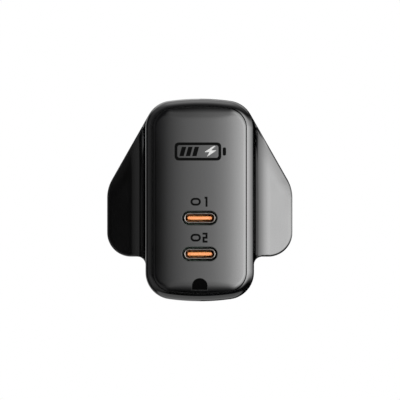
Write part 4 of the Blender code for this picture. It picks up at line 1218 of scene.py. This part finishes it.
class CHARGER_OT_stage(bpy.types.Operator):
    """Sets up the camera, the pale floor and the studio's soft light"""

    bl_idname = "charger.stage"
    bl_label = "Stage"

    def execute(self, context):
        self.camera()
        self.floor()
        self.light(context)
        context.scene.view_settings.view_transform = "Standard"
        return {"FINISHED"}

    def camera(self):
        """Straight in front and without perspective, so that the sides don't show."""
        start_fresh()
        bpy.ops.object.camera_add(location=(CAMERA_X, -CASE_DEPTH - CAMERA_DISTANCE, 0.0),
                                  rotation=(math.pi / 2, 0.0, 0.0))
        camera = bpy.context.object
        camera.name = "front_camera"
        camera.data.type = "ORTHO"
        camera.data.ortho_scale = VIEW_WIDTH
        bpy.context.scene.camera = camera

    def floor(self):
        start_fresh()
        bpy.ops.mesh.primitive_circle_add(vertices=96, radius=FLOOR_RADIUS, fill_type="NGON",
                                          location=(0.0, 0.0, FLOOR_Z))
        floor = bpy.context.object
        floor.name = floor.data.name = "pale_floor"
        material, _, shader = surface(
            "pale_floor_paint", hex_to_linear("#e6e6e6"), hex_to_linear("#ededed"),
            roughness=(0.6, 0.7), grain=40.0, bump=0.0)[:3]
        shader.inputs["Emission Color"].default_value = WHITE
        shader.inputs["Emission Strength"].default_value = FLOOR_GLOW
        floor.data.materials.append(material)
        floor.visible_glossy = False

    def light(self, context):
        """A white surround behind the object, and soft boxes round it that it reflects."""
        world = bpy.data.worlds.new("studio")
        context.scene.world = world
        world.use_nodes = True
        tree = world.node_tree
        tree.nodes.clear()
        direction = add_node(tree, "ShaderNodeTexCoord").outputs["Generated"]
        parts = add_node(tree, "ShaderNodeSeparateXYZ", {0: direction}).outputs
        forward = calculate(tree, "MULTIPLY", parts["Y"], -1.0)
        turn = calculate(tree, "ARCTAN2", parts["X"], forward)
        azimuth = calculate(tree, "DEGREES", turn)
        elevation = calculate(tree, "DEGREES", calculate(tree, "ARCSINE", parts["Z"]))
        glows = self.screens(tree, azimuth, elevation)
        glows += [self.soft_box(tree, azimuth, elevation, box) for box in SOFT_BOXES.values()]
        total = combine(tree, "ADD", glows)
        seen = add_node(tree, "ShaderNodeLightPath").outputs["Is Camera Ray"]
        white = add_node(tree, "ShaderNodeBackground", {"Color": WHITE, "Strength": 1.0})
        glow = add_node(tree, "ShaderNodeBackground", {"Color": WHITE, "Strength": total})
        both = add_node(tree, "ShaderNodeMixShader", {0: seen, 1: glow.outputs[0], 2: white.outputs[0]})
        add_node(tree, "ShaderNodeOutputWorld", {"Surface": both.outputs[0]})

    def ramp(self, tree, value, middle, edge):
        """Rises softly from 0 to 1 over an edge round its middle, or falls if edge is negative."""
        rising = edge > 0
        soft = add_node(tree, "ShaderNodeMapRange",
                        {"Value": value, "From Min": middle - abs(edge) / 2,
                         "From Max": middle + abs(edge) / 2,
                         "To Min": 0.0 if rising else 1.0, "To Max": 1.0 if rising else 0.0},
                        interpolation_type="SMOOTHSTEP")
        return soft.outputs["Result"]

    def soft_box(self, tree, azimuth, elevation, box):
        left, right, low, high, edge, strength = box
        if left > 90:  # a box behind the object spans 180 degrees, so its azimuth runs on past it
            azimuth = calculate(tree, "WRAP", azimuth, 0.0, 360.0)
        return combine(tree, "MULTIPLY", [
            self.ramp(tree, azimuth, left, edge), self.ramp(tree, azimuth, right, -edge),
            self.ramp(tree, elevation, low, edge), self.ramp(tree, elevation, high, -edge), strength])

    def screens(self, tree, azimuth, elevation):
        """The large graded screen in front, the dimmer one on the left and the ceiling."""
        return [combine(tree, "MULTIPLY", factors) for factors in (
            [self.graph(tree, azimuth, FRONT_SCREEN, SCREEN_PEAK), SCREEN_PEAK,
             self.graph(tree, elevation, SCREEN_FADE, 1.0)],
            [self.graph(tree, azimuth, LEFT_SCREEN, 1.0), self.graph(tree, elevation, LEFT_FADE, 1.0)],
            [self.graph(tree, elevation, CEILING, CEILING_PEAK), CEILING_PEAK])]

    def graph(self, tree, value, points, top):
        """Reads a straight-line graph of (degrees, height) points, as a share of its top."""
        first, last = points[0][0], points[-1][0]
        share = add_node(tree, "ShaderNodeMapRange",
                         {"Value": value, "From Min": first, "From Max": last})
        curve = add_node(tree, "ShaderNodeFloatCurve", {"Value": share.outputs["Result"]})
        line = curve.mapping.curves[0]
        while len(line.points) < len(points):
            line.points.new(0.5, 0.5)
        for point, (degrees, height) in zip(line.points, points):
            point.location = ((degrees - first) / (last - first), height / top)
            point.handle_type = "VECTOR"
        curve.mapping.update()
        return curve.outputs["Value"]


class CHARGER_PT_panel(bpy.types.Panel):
    """Lists the charger's pieces and settings"""

    bl_idname = "CHARGER_PT_panel"
    bl_label = "Two-port wall charger"
    bl_space_type = "VIEW_3D"
    bl_region_type = "UI"
    bl_category = "Charger"

    def draw(self, context):
        for operator in OPERATORS:
            self.layout.operator(operator.bl_idname)
        for group in (context.scene.charger_sizes, context.scene.charger_colours):
            for key in group.__annotations__:
                self.layout.prop(group, key)


OPERATORS = (
    CHARGER_OT_materials,
    CHARGER_OT_stage,
    CHARGER_OT_case,
    CHARGER_OT_faceplate,
    CHARGER_OT_marks,
    CHARGER_OT_ports,
    CHARGER_OT_plug,
    CHARGER_OT_cover,
)

CLASSES = (ChargerSizes, ChargerColours, *OPERATORS, CHARGER_PT_panel)


def register():
    for made in CLASSES:
        bpy.utils.register_class(made)
    bpy.types.Scene.charger_sizes = PointerProperty(type=ChargerSizes)
    bpy.types.Scene.charger_colours = PointerProperty(type=ChargerColours)


def unregister():
    del bpy.types.Scene.charger_colours
    del bpy.types.Scene.charger_sizes
    for made in reversed(CLASSES):
        bpy.utils.unregister_class(made)


def main():
    register()
    bpy.ops.charger.materials()
    bpy.ops.charger.stage()
    bpy.ops.charger.case()
    bpy.ops.charger.faceplate()
    bpy.ops.charger.marks()
    bpy.ops.charger.ports()
    bpy.ops.charger.plug()
    bpy.ops.charger.cover()


if __name__ == "__main__":
    main()
